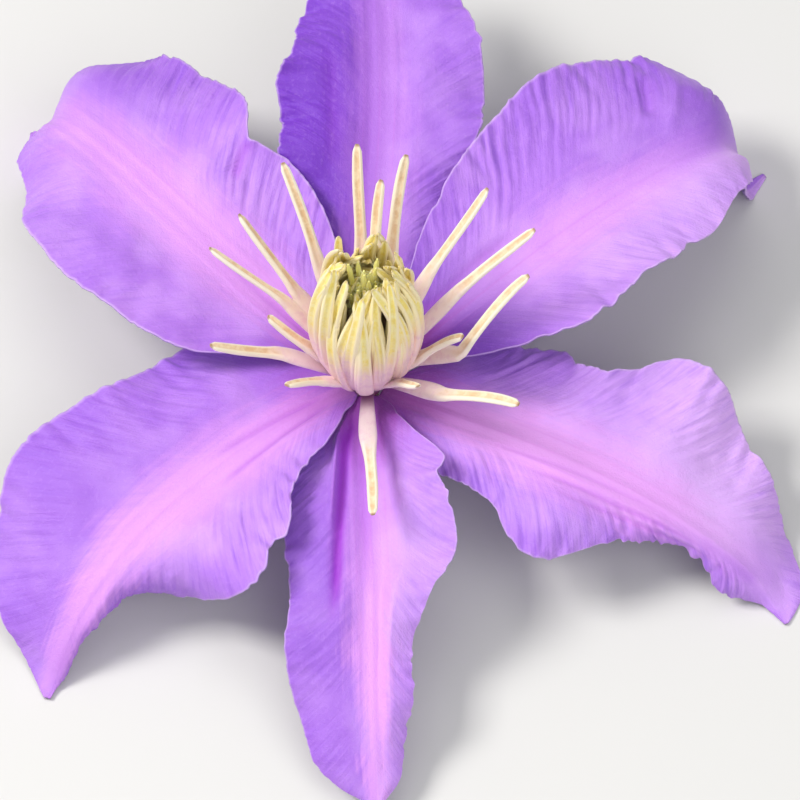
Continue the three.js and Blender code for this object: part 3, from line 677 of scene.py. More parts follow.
def stamen_finish():
    """Pinkish filaments that are dark magenta at the root, partly their own colour and partly painted
    shade where they crowd at the heart, and anthers with cream edges and a tan face, or a
    yellow-green one where they stand erect."""
    paint = Finish("stamen")
    share, beam, tint, erect = paint.attributes("share", "beam", "tint", "erect")
    spots = paint.noise(paint.place(), 800, 3.0, 0.6)
    grain = paint.noise(paint.place(), 5200)
    spotted = paint.rise(spots, 0.3, 0.7)
    filament = paint.coated(
        paint.mix(tint, color(244, 220, 226), color(252, 234, 224)),
        (erect * 0.45, color(255, 212, 198)),
        (paint.rise(spots, 0.45, 0.7) * 0.35, color(226, 176, 204)),
    )
    green_face = paint.mix(spotted, color(250, 228, 112), color(255, 242, 166))
    tan_face = paint.mix(spotted, color(232, 196, 152), color(250, 230, 196))
    face = paint.mix(erect, tan_face, green_face)
    cream = paint.mix(tint, color(255, 242, 214), color(255, 248, 228))
    edge = paint.mix(erect, cream, color(255, 242, 192))
    anther = paint.mix(paint.rise(paint.math("ABSOLUTE", beam), 0.3, 0.7), face, edge)
    anther_start = KNEE_AT + erect * (tint * 0.16 - 0.06) + (spots - 0.5) * 0.1
    whole = paint.coated(
        filament,
        (paint.rise(share - anther_start, -0.12, 0.12), anther),
        # dark magenta roots: partly the filaments' own colour and partly painted shade at the crowded heart
        (1 - paint.rise(share, 0.06, 0.26), color(146, 52, 128)),
        (paint.rise(share, 0.984, 0.999) * (0.75 - erect * 0.4), color(146, 100, 66)),
    )
    return paint.wear(
        base_color=whole,
        roughness=0.6 + (grain - 0.5) * 0.2,
        normal=paint.bump(grain + spots * 0.5, 0.00008, 0.6),
        subsurface_weight=0.04,
        subsurface_radius=(1.0, 0.8, 0.4),
        subsurface_scale=0.0008,
        sheen_weight=0.15,
    )


def style_finish():
    """Yellow-green styles, paler to their tips."""
    paint = Finish("style")
    [share] = paint.attributes("share")
    spots = paint.noise(paint.place(), 1400, 3.0, 0.6)
    green = paint.mix(spots, color(190, 192, 44), color(222, 216, 84))
    return paint.wear(
        base_color=paint.mix(paint.rise(share, 0.6, 1), green, color(246, 240, 150)),
        roughness=0.55 + (spots - 0.5) * 0.2,
        normal=paint.bump(spots, 0.00008, 0.5),
        subsurface_weight=0.15,
        subsurface_radius=(0.8, 1.0, 0.3),
        subsurface_scale=0.0006,
    )


def hair_finish(name, shade):
    """Silky short hairs."""
    paint = Finish(name)
    spots = paint.noise(paint.place(), 700)
    pale = paint.mix(spots, shade, color(246, 246, 226))
    return paint.wear(base_color=pale, roughness=0.45 + spots * 0.2, sheen_weight=0.4)


def stalk_finish():
    """Green with purplish ribs, dark purple at the heart as painted shade under the stamens and
    sepals, and a pale cut end with its ring of vessels.
    """
    paint = Finish("stalk")
    rib, cut, out, height = paint.attributes("rib", "cut", "out", "height")
    streaks = paint.noise(paint.vector(rib * 3, height * 0.4), 2.0, 3.0, 0.6)
    grain = paint.noise(paint.place(), 3000)
    skin = paint.coated(
        paint.mix(streaks, color(92, 112, 48), color(142, 156, 84)),
        (paint.rise(rib, 0.55, 1) * 0.55, color(112, 70, 84)),
        # painted shade: dark purple at the top, where the receptacle lies under the stamens and sepals
        (paint.rise(height, HEART[2] - 3, HEART[2] - 1), color(138, 54, 116)),
    )
    pith = paint.mix(paint.line(out, 0.62, 0.22), color(214, 218, 168), color(130, 146, 78))
    return paint.wear(
        base_color=paint.mix(cut, skin, pith),
        roughness=0.5 + (grain - 0.5) * 0.3,
        normal=paint.bump(grain + streaks, 0.00006, 0.6),
        subsurface_weight=0.1,
        subsurface_scale=0.0006,
    )


def floor_finish():
    """A pale matt table top with a faint grain."""
    paint = Finish("floor")
    cloud = paint.noise(paint.place(), 6, 3.0)
    pale = paint.mix(cloud, color(222, 221, 218), color(230, 229, 226))
    return paint.wear(base_color=pale, roughness=0.75 + cloud * 0.1)


def new_object(name, data):
    made = bpy.data.objects.new(name, data)
    bpy.context.scene.collection.objects.link(made)
    return made


def store(mesh, label, values, kind="FLOAT", field="value"):
    """Keeps a number, or a vector, for each point of a mesh."""
    layer = mesh.attributes.new(label, kind, "POINT")
    layer.data.foreach_set(field, np.asarray(values, np.float32).ravel())


def mesh_piece(name, points, faces, attributes, material):
    """A mesh with smooth faces from points in mm, with a number for each point in each attribute."""
    mesh = bpy.data.meshes.new(name)
    mesh.from_pydata((np.asarray(points) * MM).tolist(), [], faces)
    for label, values in attributes.items():
        store(mesh, label, values)
    mesh.polygons.foreach_set("use_smooth", [True] * len(mesh.polygons))
    mesh.materials.append(material)
    return new_object(name, mesh)


def dress(piece, slot, *nodes):
    """Parents a finished piece to the root body, and hides the solids that it stands in for."""
    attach(piece, "root")
    if nodes:
        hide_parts(*nodes)


def halves(sepal, share):
    """Each half of a sepal, with what it may leave out, and the places that lie on it."""
    plain = {"pucker": 1, "ruffle": 1, "puff": [0, 0, 1], "notches": []}
    for name, chosen in (("left", share >= 0), ("right", share < 0)):
        yield {**plain, **sepal[name]}, chosen


def midrib_of(sepal):
    """Points along the midrib with the directions across the blade and out of its face."""
    step = sepal["length"] / MIDRIB_STEPS
    places = np.arange(MIDRIB_STEPS + 1) * step

    def course(at):
        climb = np.radians(through(sepal["slope"], at))
        compass = np.radians(sepal["heading"] + through(sepal["turn"], at))
        return np.cos(climb), np.sin(climb), np.cos(compass), np.sin(compass)

    flat, up, east, north = course(places[:-1] + step / 2)
    moves = step * np.stack([flat * east, flat * north, up], axis=1)
    start = polar(math.radians(sepal["root_angle"]), ROOT_RADIUS, sepal["root_rise"]) + HEART
    points = start + np.vstack([np.zeros(3), np.cumsum(moves, axis=0)])
    flat, up, east, north = course(places)
    across = np.stack([-north, east, np.zeros_like(east)], axis=1)
    out = np.stack([-up * east, -up * north, flat], axis=1)
    return places, points, across, out


def main_relief(sepal, side, distance, share, width):
    """The relief that the solids have too: held margins, waves, swelling, trough and ribs."""
    along = distance / sepal["length"]
    held = side["lift"] * share**2 * within(HELD_REACH, along)
    wave_height, wave_count, wave_phase = side["wave"]
    turns = wave_count * along + wave_phase
    wave = wave_height * share**WAVE_POWER * within(WAVE_REACH, along) * np.sin(2 * math.pi * turns)
    puff_height, puff_start, puff_end = side["puff"]
    in_puff = np.clip((distance - puff_start) / (puff_end - puff_start), 0, 1)
    puff = puff_height * np.sin(math.pi * in_puff) ** 2 * np.sin(math.pi * np.clip(share, 0, 1))
    in_trough = (1 - rise(share, TROUGH_FLOOR, TROUGH_BRIM)) * within(TROUGH_REACH, along)
    ribs = np.zeros_like(share)
    for centre in (0, RIB_SPACING):
        ribs += np.cos(math.pi / 2 * np.clip(np.abs(share * width - centre) / RIB_HALF_WIDTH, 0, 1)) ** 2
    return held + wave + puff - sepal["trough"] * in_trough + RIB_HEIGHT * ribs * within(RIB_REACH, along)


def near_line(distance, offset, line):
    """How far places are from a line of [distance, offset] places, and 1 on it, fading at its ends."""
    nearest = np.full_like(distance, np.inf)
    run = np.zeros_like(distance)
    parts = len(line) - 1
    for number in range(parts):
        start, end = np.array(line[number : number + 2], float)
        step = end - start
        share = ((distance - start[0]) * step[0] + (offset - start[1]) * step[1]) / (step @ step)
        share = np.clip(share, 0, 1)
        away = np.hypot(distance - start[0] - share * step[0], offset - start[1] - share * step[1])
        closer = away < nearest
        nearest = np.where(closer, away, nearest)
        run = np.where(closer, (number + share) / parts, run)
    return nearest, within(CREASE_REACH, run)


def creased(sepal, distance, offset):
    """The relief of a sepal's creases, and how much painted shade they lay on it."""
    relief = np.zeros_like(distance)
    painted_crease_shade = np.zeros_like(distance)
    for line, height, half_width, tint in sepal["creases"]:
        away, fade = near_line(distance, offset, line)
        profile = np.exp(-((away / half_width) ** 2)) * fade
        relief += height * profile
        painted_crease_shade += tint * profile
    return relief, np.clip(painted_crease_shade, 0, 1)


def vein_place(distance, offset):
    """The same number all along a side vein, in mm. It is where the vein leaves the midrib."""
    away = np.abs(offset)
    return distance - VEIN_SLANT * away - VEIN_LEAN * VEIN_BEND * (1 - np.exp(-away / VEIN_BEND))


def puckers(distance, offset, share, draw):
    """Small waves across the side veins, of several lengths and each strong in some patches only."""
    vein = vein_place(distance, offset) + VEIN_WANDER * mottle(draw, distance, offset, VEIN_WANDER_SIZE)
    total = np.zeros_like(vein)
    for length in PUCKER_LENGTHS:
        patch = np.clip(0.35 + 0.9 * mottle(draw, distance, offset, PUCKER_PATCH), 0, 1)
        total += patch * np.sin(2 * math.pi * (vein / length + draw() + 0.3 * np.sign(share)))
    return total


def fine_relief(sepal, distance, share, offset, draw):
    """What is too fine for the solids: ruffled margins, puckers along the veins, soft unevenness."""
    along = distance / sepal["length"]
    reach = np.abs(share)
    line = distance[:, 0]
    relief = creased(sepal, distance, offset)[0]
    puckered = np.zeros_like(share)
    for side, chosen in halves(sepal, share):
        ruffle = wander(draw, line, RUFFLE_LENGTH) * (0.55 + 0.45 * wander(draw, line, RUFFLE_STRETCH))
        crisp = wander(draw, line, CRISP_LENGTH)
        crisp = crisp * np.clip(0.3 + 1.2 * wander(draw, line, CRISP_STRETCH), 0, 1.2)
        soft = RUFFLE_HEIGHT * side["ruffle"] * reach**4 * ruffle[:, None]
        edge = soft + CRISP_HEIGHT * reach**10 * crisp[:, None]
        relief = relief + np.where(chosen, edge * within(RUFFLE_REACH, along), 0)
        puckered = np.where(chosen, side["pucker"], puckered)
    pucker_height = PUCKER_HEIGHT * puckered * rise(reach, *PUCKER_ACROSS) * within(PUCKER_REACH, along)
    pucker = puckers(distance, offset, share, draw)
    uneven = UNEVEN_HEIGHT * mottle(draw, distance, offset, UNEVEN_SIZE)
    uneven = uneven + FINE_UNEVEN_HEIGHT * mottle(draw, distance, offset, FINE_UNEVEN_SIZE)
    smooth_root = rise(reach, 0.05, 0.4) * rise(along, 0.05, 0.25)
    return relief + pucker_height * pucker + uneven * smooth_root


def outline_wander(side, line, length, draw):
    """How far a margin stands out past its smooth outline at each place along a sepal, in mm."""
    strength = JAG_DEPTH * side["ruffle"] * np.clip(0.3 + 1.3 * wander(draw, line, JAG_STRETCH), 0.1, 1.2)
    jag = wander(draw, line, JAG_LENGTH) + FINE_JAG_SHARE * wander(draw, line, FINE_JAG_LENGTH)
    out = strength * jag * within(RUFFLE_REACH, line / length)
    for place, depth, half_width in side["notches"]:
        out = out - depth * np.exp(-(((line - place) / half_width) ** 2))
    return out


def blade_face(sepal, distance, share, draw):
    """The upper face's points, and each point's offset from the midrib in mm."""
    places, points, across, out = midrib_of(sepal)
    length = sepal["length"]

    def at(values):
        return np.stack([np.interp(distance, places, values[:, k]) for k in range(3)], axis=-1)

    reach = np.abs(share)
    width = np.zeros_like(share)
    bend = np.zeros_like(share)
    relief = np.zeros_like(share)
    for side, chosen in halves(sepal, share):
        margin = [[0, ROOT_HALF_WIDTH], *side["margin"], [length, TIP_HALF_WIDTH]]
        side_width = through(margin, distance)
        relief = np.where(chosen, main_relief(sepal, side, distance, reach, side_width), relief)
        side_width = side_width * (1 + ROOT_SPREAD * (1 - rise(distance, *ROOT_SPREAD_REACH)))
        side_width = side_width + outline_wander(side, distance[:, 0], length, draw)[:, None]
        width = np.where(chosen, side_width, width)
        bend = np.where(chosen, np.radians(through(side["curl"], distance)), bend)
    relief = relief + fine_relief(sepal, distance, share, share * width, draw)
    least_bend = math.radians(LEAST_CURL)
    bend = np.where(np.abs(bend) < least_bend, least_bend, bend)
    turned = bend * reach
    sideways = width * np.sin(turned) / bend - relief * np.sin(turned)
    height = width * (1 - np.cos(turned)) / bend + relief * np.cos(turned)
    face = at(points) + at(across) * (np.sign(share) * sideways)[..., None] + at(out) * height[..., None]
    return face, share * width


def laid_down(height):
    """Heights in mm with what is under the surface brought up to it, in a soft bend."""
    eased = (height + FLOOR_EASE) ** 2 / (4 * FLOOR_EASE)
    return np.where(height > FLOOR_EASE, height, np.where(height < -FLOOR_EASE, 0, eased))


def closed_faces(grid):
    """The faces of an upper and a lower sheet of points, and of the rim that joins them."""
    count = grid.size
    a, b, c, d = grid[:-1, :-1], grid[1:, :-1], grid[1:, 1:], grid[:-1, 1:]
    top = np.stack([a, b, c, d], axis=-1).reshape(-1, 4)
    bottom = np.stack([a, d, c, b], axis=-1).reshape(-1, 4) + count
    ring = np.concatenate([grid[:, 0], grid[-1, 1:], grid[-2::-1, -1], grid[0, -2:0:-1]])
    after = np.roll(ring, -1)
    rim = np.stack([after, ring, ring + count, after + count], axis=-1)
    return np.concatenate([top, bottom, rim]).tolist()


def sepal_attributes(sepal, number, distance, share, offset):
    """What a sepal's finish reads at each place of its face."""
    left, right = sepal["left"], sepal["right"]
    left_painted_shade, right_painted_shade = [through(side["shade"], distance) for side in (left, right)]
    return {
        "distance": distance,
        "offset": offset,
        "share": np.abs(share),
        "along": distance / sepal["length"],
        "vein": vein_place(distance, offset) + SEPAL_SHIFT * number + HALF_SHIFT * (share > 0),
        "band": through(sepal["band"], distance),
        "band_width": np.full_like(distance, sepal["band_half_width"]),
        # painted shade and light of each half, blended across the midrib
        "shade": right_painted_shade + (left_painted_shade - right_painted_shade) * rise(share, *PAINTED_SHADE_BLEND),
        # how strong the magenta and its painted shade at the heart are for this sepal
        "flush_and_shade": np.full_like(distance, sepal["flush_and_shade"]),
        # how strong the vein streaks and their painted pucker shade are on each half
        "vein_and_pucker_shading": np.where(share > 0, left.get("pucker", 1), right.get("pucker", 1)),
        # painted shade in the creases
        "crease": creased(sepal, distance, offset)[1],
    }


def sepal_piece(sepal, number, material):
    """One sepal as a closed thin blade, flattened where it lies on the surface."""
    half = np.linspace(0, 1, COLUMNS_PER_HALF + 1) ** COLUMN_CROWDING
    shares = np.concatenate([-half[:0:-1], half])
    distances = np.linspace(0, sepal["length"], ROWS + 1)
    distance, share = np.meshgrid(distances, shares, indexing="ij")
    upper, offset = blade_face(sepal, distance, share, make_draw(SEED * 100 + number))
    normal = unit(np.cross(np.gradient(upper, axis=0), np.gradient(upper, axis=1)))
    thinning = 1 - np.abs(share) ** THINNING_POWER
    thickness = MARGIN_THICKNESS + (BLADE_THICKNESS - MARGIN_THICKNESS) * thinning
    lower = upper - normal * thickness[..., None]
    upper[..., 2] = thickness + laid_down(upper[..., 2] - thickness)
    lower[..., 2] = laid_down(lower[..., 2])
    count = distance.size
    faces = closed_faces(np.arange(count).reshape(distance.shape))
    given = sepal_attributes(sepal, number, distance, share, offset)
    attributes = {label: np.concatenate([values.ravel()] * 2) for label, values in given.items()}
    attributes["under"] = np.repeat([0, 1], count)
    points = np.concatenate([upper.reshape(-1, 3), lower.reshape(-1, 3)])
    piece = mesh_piece(sepal["name"] + "_blade", points, faces, attributes, material)
    dress(piece, "sepal", sepal["name"])


def guide_mesh(name, guides):
    """Open lines as a mesh of points and edges. Each guide gives its points in mm and, for each
    point, its width, the directions across and out of its face, and its anther, tint and erect
    values."""
    mesh = bpy.data.meshes.new(name)
    together = {label: np.concatenate([guide[label] for guide in guides]) for label in guides[0]}
    edges = []
    start = 0
    for guide in guides:
        count = len(guide["points"])
        edges += [(start + i, start + i + 1) for i in range(count - 1)]
        start += count
    mesh.from_pydata((together["points"] * MM).tolist(), edges, [])
    for label in ("width", "tint", "erect", "anther"):
        store(mesh, label, together[label])
    for label in ("across", "facing"):
        store(mesh, label, together[label], "FLOAT_VECTOR", "vector")
    return new_object(name, mesh)


def new_modifier_tree(name, inputs):
    """A Geometry Nodes tree with one geometry in and out and named inputs, and those as fields."""
    group = bpy.data.node_groups.new(name, "GeometryNodeTree")
    group.interface.new_socket("Geometry", in_out="INPUT", socket_type="NodeSocketGeometry")
    group.interface.new_socket("Geometry", in_out="OUTPUT", socket_type="NodeSocketGeometry")
    for label, kind in inputs.items():
        group.interface.new_socket(label, in_out="INPUT", socket_type="NodeSocket" + kind)
    tree = Tree(group)
    entry = group.nodes.new("NodeGroupInput")
    fields = {socket.name: Field(tree, socket) for socket in entry.outputs if socket.name}
    return tree, fields


def close_tree(tree, geometry, material):
    """Ends a tree with Realize Instances and Set Material."""
    real = tree.node("GeometryNodeRealizeInstances", None, {"Geometry": geometry})
    painted = tree.node("GeometryNodeSetMaterial", None, {"Geometry": real, "Material": material})
    result = tree.tree.nodes.new("NodeGroupOutput")
    tree.feed(result.inputs["Geometry"], painted)
    return tree.tree


def strap_tree():
    """Sweeps a flat rounded section along each guide line, with the anther's two swollen edges."""
    inputs = {
        "Section Points": "Int",
        "Flatness": "Float",
        "Edge Swelling": "Float",
        "Face Groove": "Float",
        "Material": "Material",
    }
    tree, given = new_modifier_tree("straps along guides", inputs)

    def named(label, kind="FLOAT"):
        return tree.node("GeometryNodeInputNamedAttribute", {"data_type": kind}, {"Name": label})

    def stored(geometry, label, value):
        settings = {"data_type": "FLOAT", "domain": "POINT"}
        inputs = {"Geometry": geometry, "Name": label, "Value": value}
        return tree.node("GeometryNodeStoreNamedAttribute", settings, inputs)

    def scaled(direction, size):
        inputs = {0: named(direction, "FLOAT_VECTOR"), "Scale": size}
        return tree.node("ShaderNodeVectorMath", {"operation": "SCALE"}, inputs)

    curves = tree.node("GeometryNodeMeshToCurve", None, {"Mesh": given["Geometry"]})
    sides = {"Curve": curves, "Normal": named("across", "FLOAT_VECTOR")}
    held = tree.node("GeometryNodeSetCurveNormal", {"mode": "FREE"}, sides)
    marked = stored(held, "share", tree.node("GeometryNodeSplineParameter"))
    round_section = {"Resolution": given["Section Points"], "Radius": 1.0}
    circle = tree.node("GeometryNodeCurvePrimitiveCircle", None, round_section)
    turn = tree.node("GeometryNodeSplineParameter") * (2 * math.pi)
    beamed = stored(circle, "beam", tree.math("COSINE", turn))
    profile = stored(beamed, "front", tree.math("SINE", turn))
    thin = named("width") * THIN_SWEEP
    sections = {"Curve": marked, "Profile Curve": profile, "Scale": thin, "Fill Caps": True}
    swept = tree.node("GeometryNodeCurveToMesh", None, sections)
    beam = named("beam")
    swelling = tree.line(tree.math("ABSOLUTE", beam), 0.68, 0.42) * given["Edge Swelling"]
    groove = tree.line(beam, 0, 0.45) * given["Face Groove"]
    depth = named("front") * (given["Flatness"] + named("anther") * (swelling - groove))
    half = named("width") * 0.5
    moves = {0: scaled("across", beam * half), 1: scaled("facing", depth * half)}
    offset = tree.node("ShaderNodeVectorMath", {"operation": "ADD"}, moves)
    shaped = tree.node("GeometryNodeSetPosition", None, {"Geometry": swept, "Offset": offset})
    smooth = tree.node("GeometryNodeSetShadeSmooth", None, {"Geometry": shaped})
    return close_tree(tree, smooth, given["Material"])


def hair_tree():
    """Short tapered hairs over a surface, each leaning its own way."""
    inputs = {
        "Per Square Metre": "Float",
        "Length": "Float",
        "Thickness": "Float",
        "Lean": "Float",
        "Seed": "Int",
        "Material": "Material",
    }
    tree, given = new_modifier_tree("short hairs", inputs)

    def chance(seed, least=0.0, most=1.0):
        return tree.node("FunctionNodeRandomValue", None, {2: least, 3: most, "Seed": seed}, output=1)

    scattered = {"Mesh": given["Geometry"], "Density": given["Per Square Metre"], "Seed": given["Seed"]}
    points = tree.node("GeometryNodeDistributePointsOnFaces", None, scattered)
    leans = {"X": given["Lean"] * (chance(1) - 0.5), "Y": given["Lean"] * (chance(2) - 0.5)}
    lean = tree.node("ShaderNodeCombineXYZ", None, leans)
    turn = tree.node("FunctionNodeEulerToRotation", None, {"Euler": lean})
    upright = Field(tree, points.socket.node.outputs["Rotation"])
    both = {"Rotation": upright, "Rotate By": turn}
    leaning = tree.node("FunctionNodeRotateRotation", {"rotation_space": "LOCAL"}, both)
    cone = {
        "Vertices": 3,
        "Side Segments": 2,
        "Radius Top": 0.0,
        "Radius Bottom": given["Thickness"] * 0.5,
        "Depth": given["Length"],
    }
    hair = tree.node("GeometryNodeMeshCone", None, cone)
    spread = {"Points": points, "Instance": hair, "Rotation": leaning, "Scale": chance(3, 0.6, 1.3)}
    grown = tree.node("GeometryNodeInstanceOnPoints", None, spread)
    return close_tree(tree, grown, given["Material"])


def grown_from(source, tree, name, sizes, material):
    """The plain mesh that a tree grows from an object, as a new piece. The source is kept."""
    values = {**sizes, "Material": material}
    modifier = source.modifiers.new(tree.name, "NODES")
    modifier.node_group = tree
    for item in tree.interface.items_tree:
        if item.item_type == "SOCKET" and item.in_out == "INPUT" and item.name in values:
            modifier[item.identifier] = values[item.name]
    graph = bpy.context.evaluated_depsgraph_get()
    mesh = bpy.data.meshes.new_from_object(source.evaluated_get(graph), depsgraph=graph)
    source.modifiers.remove(modifier)
    mesh.name = name
    return new_object(name, mesh)


def swept_along(guides, straps, name, sizes, material):
    """Straps or rods along guides, as one plain mesh."""
    lines = guide_mesh(name + "_guides", guides)
    piece = grown_from(lines, straps, name, sizes, material)
    bpy.data.objects.remove(lines)
    return piece


def guide(points, sideways, twist, width, anther, tint, erect):
    """One guide line for the straps. Its twist turns it about its own length, in radians."""
    forward = unit(np.gradient(points, axis=0))
    facing = unit(np.cross(forward, sideways))
    across = unit(np.cross(facing, forward))
    count = len(points)
    turned = np.broadcast_to(twist, count)[:, None]
    return {
        "points": points,
        "across": across * np.cos(turned) + facing * np.sin(turned),
        "facing": facing * np.cos(turned) - across * np.sin(turned),
        "width": width * MM,
        "anther": anther,
        "tint": np.full(count, tint),
        "erect": np.full(count, erect),
    }


def blunt_end(share, start, length):
    """1 along a strap, and falling as a round end does past its start, as shares of the strap."""
    return np.sqrt(np.clip(1 - ((share - start) / length).clip(0, 1) ** 2, 0.04, 1))


def stamen_width(share, width, widths):
    """A stamen's width at shares of its length."""
    return width * through(widths, share) * blunt_end(share, *STAMEN_END)


def soft_wave(share, height, half_waves, extra):
    """A wave along a stamen that grows from its root, in mm."""
    return height * np.sin(math.pi * share * half_waves + extra(0, 6)) * share


def bezier(start, middle, end, share):
    u = share[:, None]
    return start * (1 - u) ** 2 + middle * 2 * u * (1 - u) + end * u**2


def spread_stamen(row, draw, extra):
    """One of the stamens that have opened away from the barrel, with a knee where its anther begins."""
    compass, climb, length, knee = row
    angle = math.radians(compass)
    lean = math.radians(climb)
    sideways = polar(angle + math.pi / 2, 1, 0)
    start = polar(angle, STAMEN_ROOT_RADIUS, STAMEN_ROOT_HEIGHT - HEART[2])
    end = polar(angle, length * math.cos(lean), length * math.sin(lean))
    middle = start + (end - start) * SPREAD_BOW_AT
    middle[2] += draw(*SPREAD_BOW)
    middle = middle + sideways * draw(-SPREAD_SWAY, SPREAD_SWAY)
    share = np.linspace(0, 1, STAMEN_RINGS)
    points = bezier(start, middle, end, share) + HEART
    width = stamen_width(share, draw(*SPREAD_WIDTH), STAMEN_WIDTHS)
    tent = 1 - np.where(share < KNEE_AT, 1 - share / KNEE_AT, (share - KNEE_AT) / (1 - KNEE_AT))
    tent = tent**KNEE_SHARPNESS
    points = points + sideways * (knee * tent + soft_wave(share, *SPREAD_WAVE, extra))[:, None]
    points[:, 2] += tent * extra(-0.5, 0.3) + soft_wave(share, *SPREAD_NOD, extra)
    twist = extra(-0.3, 0.3) * share + extra(-0.4, 0.4) * rise(share, *TWISTED_KNEE)
    return guide(points, sideways, twist, width, within(SPREAD_ANTHER, share), extra(), 0.0)


def erect_stamen(ring, number, draw, extra):
    """One of the stamens that still clasp the styles: it swells out and closes in again above."""
    count, bulge, height, closing, turn = ring
    angle = math.radians(turn + 360 * (number + draw(-0.15, 0.15)) / count)
    bulge = bulge * draw(0.92, 1.08) * extra(0.94, 1.03)
    height = height * draw(0.88, 1.06) * extra(0.93, 1.02)
    closing = closing * draw(0.4, 1.6)
    climb = HEART[2] + height - STAMEN_ROOT_HEIGHT
    outs = [0, 0.59 * bulge, 0.89 * bulge, bulge, bulge - 0.3 * closing, bulge - closing]
    share = np.linspace(0, 1, STAMEN_RINGS)
    at = share * (len(outs) - 1)
    out = STAMEN_ROOT_RADIUS + through(list(enumerate(outs)), at)
    rises = STAMEN_ROOT_HEIGHT - HEART[2] + climb * through(list(enumerate(CLIMB_SHARES)), at)
    sideways = polar(angle + math.pi / 2, 1, 0)
    points = np.stack([out * math.cos(angle), out * math.sin(angle), rises], axis=1) + HEART
    width = stamen_width(share, draw(*ERECT_WIDTH) * extra(0.66, 0.96), CLASPING_WIDTHS)
    lean = extra(-ERECT_LEAN, ERECT_LEAN) * share**ERECT_LEAN_POWER
    points = points + sideways * (lean + soft_wave(share, *ERECT_WAVE, extra))[:, None]
    twist = extra(-0.9, 0.9) * share
    return guide(points, sideways, twist, width, within(ERECT_ANTHER, share), extra(), 1.0)


def turned_piece(name, section, sides, material):
    """A solid of revolution about the flower's axis, from [radius, height] pairs in mm that go
    round a closed section."""
    points = []
    faces = []
    count = len(section)
    for i in range(sides):
        angle = 2 * math.pi * i / sides
        points += [polar(angle, radius, height) + [HEART[0], HEART[1], 0] for radius, height in section]
        for k in range(count):
            after = (i + 1) % sides
            above = (k + 1) % count
            faces.append((i * count + k, after * count + k, after * count + above, i * count + above))
    return mesh_piece(name, points, faces, {"share": np.zeros(len(points))}, material)


def joined(name, pieces):
    """Several pieces as one."""
    with bpy.context.temp_override(active_object=pieces[0], selected_editable_objects=pieces):
        bpy.ops.object.join()
    pieces[0].name = name
    pieces[0].data.name = name
    return pieces[0]


def make_stamens(material, straps):
    draw = make_draw(SEED)
    extra = make_draw(SEED + 7)
    guides = [spread_stamen(row, draw, extra) for row in SPREAD_STAMENS]
    for ring in ERECT_RINGS:
        guides += [erect_stamen(ring, number, draw, extra) for number in range(ring[0])]
    stamens = swept_along(guides, straps, "stamen_straps", STAMEN_STRAPS, material)
    collar = turned_piece("stamen_collar", COLLAR_SECTION, COLLAR_SIDES, material)
    dress(joined("stamens_fine", [stamens, collar]), "stamen", "stamens")


def style_guide(number, draw):
    """One style's guide line. Those past the solids' own count fill the middle."""
    angle = math.radians(360 * number / STYLE_COUNT + draw(*STYLE_TURNS))
    spread = draw(*STYLE_SPREADS["near" if number % 3 == 0 else "far"])
    length = STYLE_LENGTH * draw(*STYLE_LENGTHS)
    if number >= STYLE_COUNT:
        spread = draw(*STYLE_SPREADS["any"])
        length = STYLE_LENGTH * draw(*INNER_LENGTHS)
    ends = [(OVARY_RADIUS / 2, 1), (OVARY_NECK, 0.6 * length), (spread, length)]
    start, middle, end = [polar(angle, out, OVARY_BOTTOM - HEART[2] + up) for out, up in ends]
    share = np.linspace(0, 1, STYLE_RINGS)
    points = bezier(start, middle, end, share) + HEART
    width = STYLE_WIDTH + (STYLE_TIP_WIDTH - STYLE_WIDTH) * share
    width = width * blunt_end(share, *STYLE_END)
    return guide(points, polar(angle + math.pi / 2, 1, 0), 0.0, width, np.zeros(STYLE_RINGS), 0.5, 1.0)


def make_styles(material, hair_material, straps, hairs):
    draw = make_draw(SEED + 1)
    guides = [style_guide(number, draw) for number in range(STYLE_COUNT + INNER_STYLES)]
    styles = swept_along(guides, straps, "style_rods", STYLE_RODS, material)
    ovary = turned_piece("style_ovary", OVARY_SECTION, OVARY_SIDES, material)
    whole = joined("styles_fine", [styles, ovary])
    down = grown_from(whole, hairs, "style_hairs", STYLE_HAIRS, hair_material)
    dress(whole, "style", "styles")
    dress(down, "style")


def stalk_radius(height):
    """The stalk's and the receptacle's outline from the cut end up."""
    heart = HEART[2]
    outline = [
        [STALK_END, STALK_RADIUS],
        [heart - 4, STALK_RADIUS],
        [heart - 2.4, STALK_RADIUS + 0.35],
        [heart - 1.3, RECEPTACLE_RADIUS - 0.4],
        [heart - 0.6, RECEPTACLE_RADIUS],
        [RECEPTACLE_TOP, RECEPTACLE_RADIUS],
    ]
    return through(outline, height)


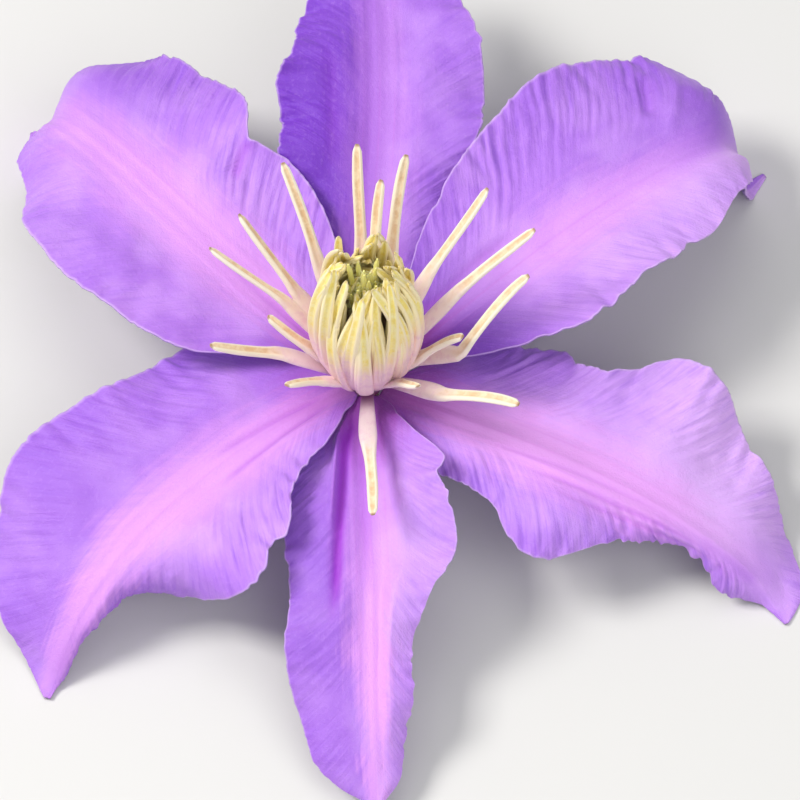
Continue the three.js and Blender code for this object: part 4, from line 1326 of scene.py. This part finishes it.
def make_stalk(material, hair_material, hairs):
    heights = np.linspace(STALK_END, RECEPTACLE_TOP, STALK_RINGS)
    angle = np.arange(STALK_SIDES) * 2 * math.pi / STALK_SIDES
    rib = 0.5 + 0.5 * np.cos(STALK_RIBS * angle)
    fade = 1 - rise(heights, HEART[2] - 3.4, HEART[2] - 1)
    radius = stalk_radius(heights)[:, None] - STALK_RIB_DEPTH * (1 - rib) * fade[:, None]
    wall = np.stack([radius * np.cos(angle), radius * np.sin(angle), heights[:, None] + 0 * radius], axis=-1)
    cut = [wall[0] * [s, s, 0] + [0, 0, STALK_END + CUT_HOLLOW * (1 - s)] for s in CUT_RINGS]
    top = [wall[-1] * [s, s, 0] + [0, 0, RECEPTACLE_TOP] for s in TOP_RINGS]
    rows = np.stack([*cut, *wall, *top])
    points = rows.reshape(-1, 3) + [HEART[0], HEART[1], 0]
    grid = np.arange(len(rows) * STALK_SIDES).reshape(len(rows), STALK_SIDES)
    after = np.roll(grid, -1, axis=1)
    faces = np.stack([grid[:-1], after[:-1], after[1:], grid[1:]], axis=-1).reshape(-1, 4).tolist()
    faces += [grid[0][::-1].tolist(), grid[-1].tolist()]
    attributes = {
        "rib": np.tile(rib, len(rows)),
        "cut": np.repeat(np.arange(len(rows)) < len(cut), STALK_SIDES),
        "out": np.linalg.norm(rows[..., :2], axis=-1) / STALK_RADIUS,
        "height": points[:, 2],
    }
    stalk = mesh_piece("stalk_fine", points, faces, attributes, material)
    down = grown_from(stalk, hairs, "stalk_hairs", STALK_HAIRS, hair_material)
    dress(stalk, "stalk", "stalk")
    dress(down, "stalk")


def make_floor():
    corners = [[FLOOR_HALF * x, FLOOR_HALF * y, 0] for x, y in ((-1, -1), (1, -1), (1, 1), (-1, 1))]
    floor = mesh_piece("floor", corners, [(0, 1, 2, 3)], {}, floor_finish())


def make_camera():
    right = np.array([1.0, 0.0, 0.0])
    up = np.array([0.0, math.sin(CAMERA_ELEVATION), math.cos(CAMERA_ELEVATION)])
    look = np.array([0.0, math.cos(CAMERA_ELEVATION), -math.sin(CAMERA_ELEVATION)])
    middle = IMAGE_SIZE / 2
    aside = right * (middle - HEART_PIXEL[0]) / PIXELS_PER_MM
    target = HEART + aside + up * (HEART_PIXEL[1] - middle) / PIXELS_PER_MM
    data = bpy.data.cameras.new("camera")
    data.sensor_width = SENSOR
    data.lens = CAMERA_DISTANCE * PIXELS_PER_MM * SENSOR / IMAGE_SIZE
    data.clip_start, data.clip_end = CAMERA_CLIP
    camera = new_object("camera", data)
    camera.location = (target - look * CAMERA_DISTANCE) * MM
    camera.rotation_euler = Vector(look).to_track_quat("-Z", "Y").to_euler()
    bpy.context.scene.camera = camera


def area_light(name, azimuth, elevation, distance, size, power, tint):
    """A soft square light that faces the flower."""
    data = bpy.data.lights.new(name, "AREA")
    data.size = size
    data.energy = power
    data.color = tint
    lamp = new_object(name, data)
    a, e = math.radians(azimuth), math.radians(elevation)
    towards = Vector((math.cos(e) * math.cos(a), math.cos(e) * math.sin(a), math.sin(e)))
    lamp.location = towards * distance
    lamp.rotation_euler = towards.to_track_quat("Z", "Y").to_euler()


def make_light():
    for name, values in LIGHTS.items():
        area_light(name, *values)
    world = bpy.data.worlds.new("studio")
    world.use_nodes = True
    background = world.node_tree.nodes["Background"]
    background.inputs["Color"].default_value = STUDIO_COLOR
    background.inputs["Strength"].default_value = STUDIO_STRENGTH
    bpy.context.scene.world = world
    bpy.context.scene.view_settings.view_transform = "Standard"


make_camera()
make_light()
make_floor()
sepal_material = sepal_finish()
for number, sepal in enumerate(SEPALS):
    sepal_piece(sepal, number, sepal_material)
straps = strap_tree()
hairs = hair_tree()
make_stamens(stamen_finish(), straps)
make_styles(style_finish(), hair_finish("style hair", color(204, 204, 92)), straps, hairs)
make_stalk(stalk_finish(), hair_finish("stalk hair", color(190, 196, 150)), hairs)
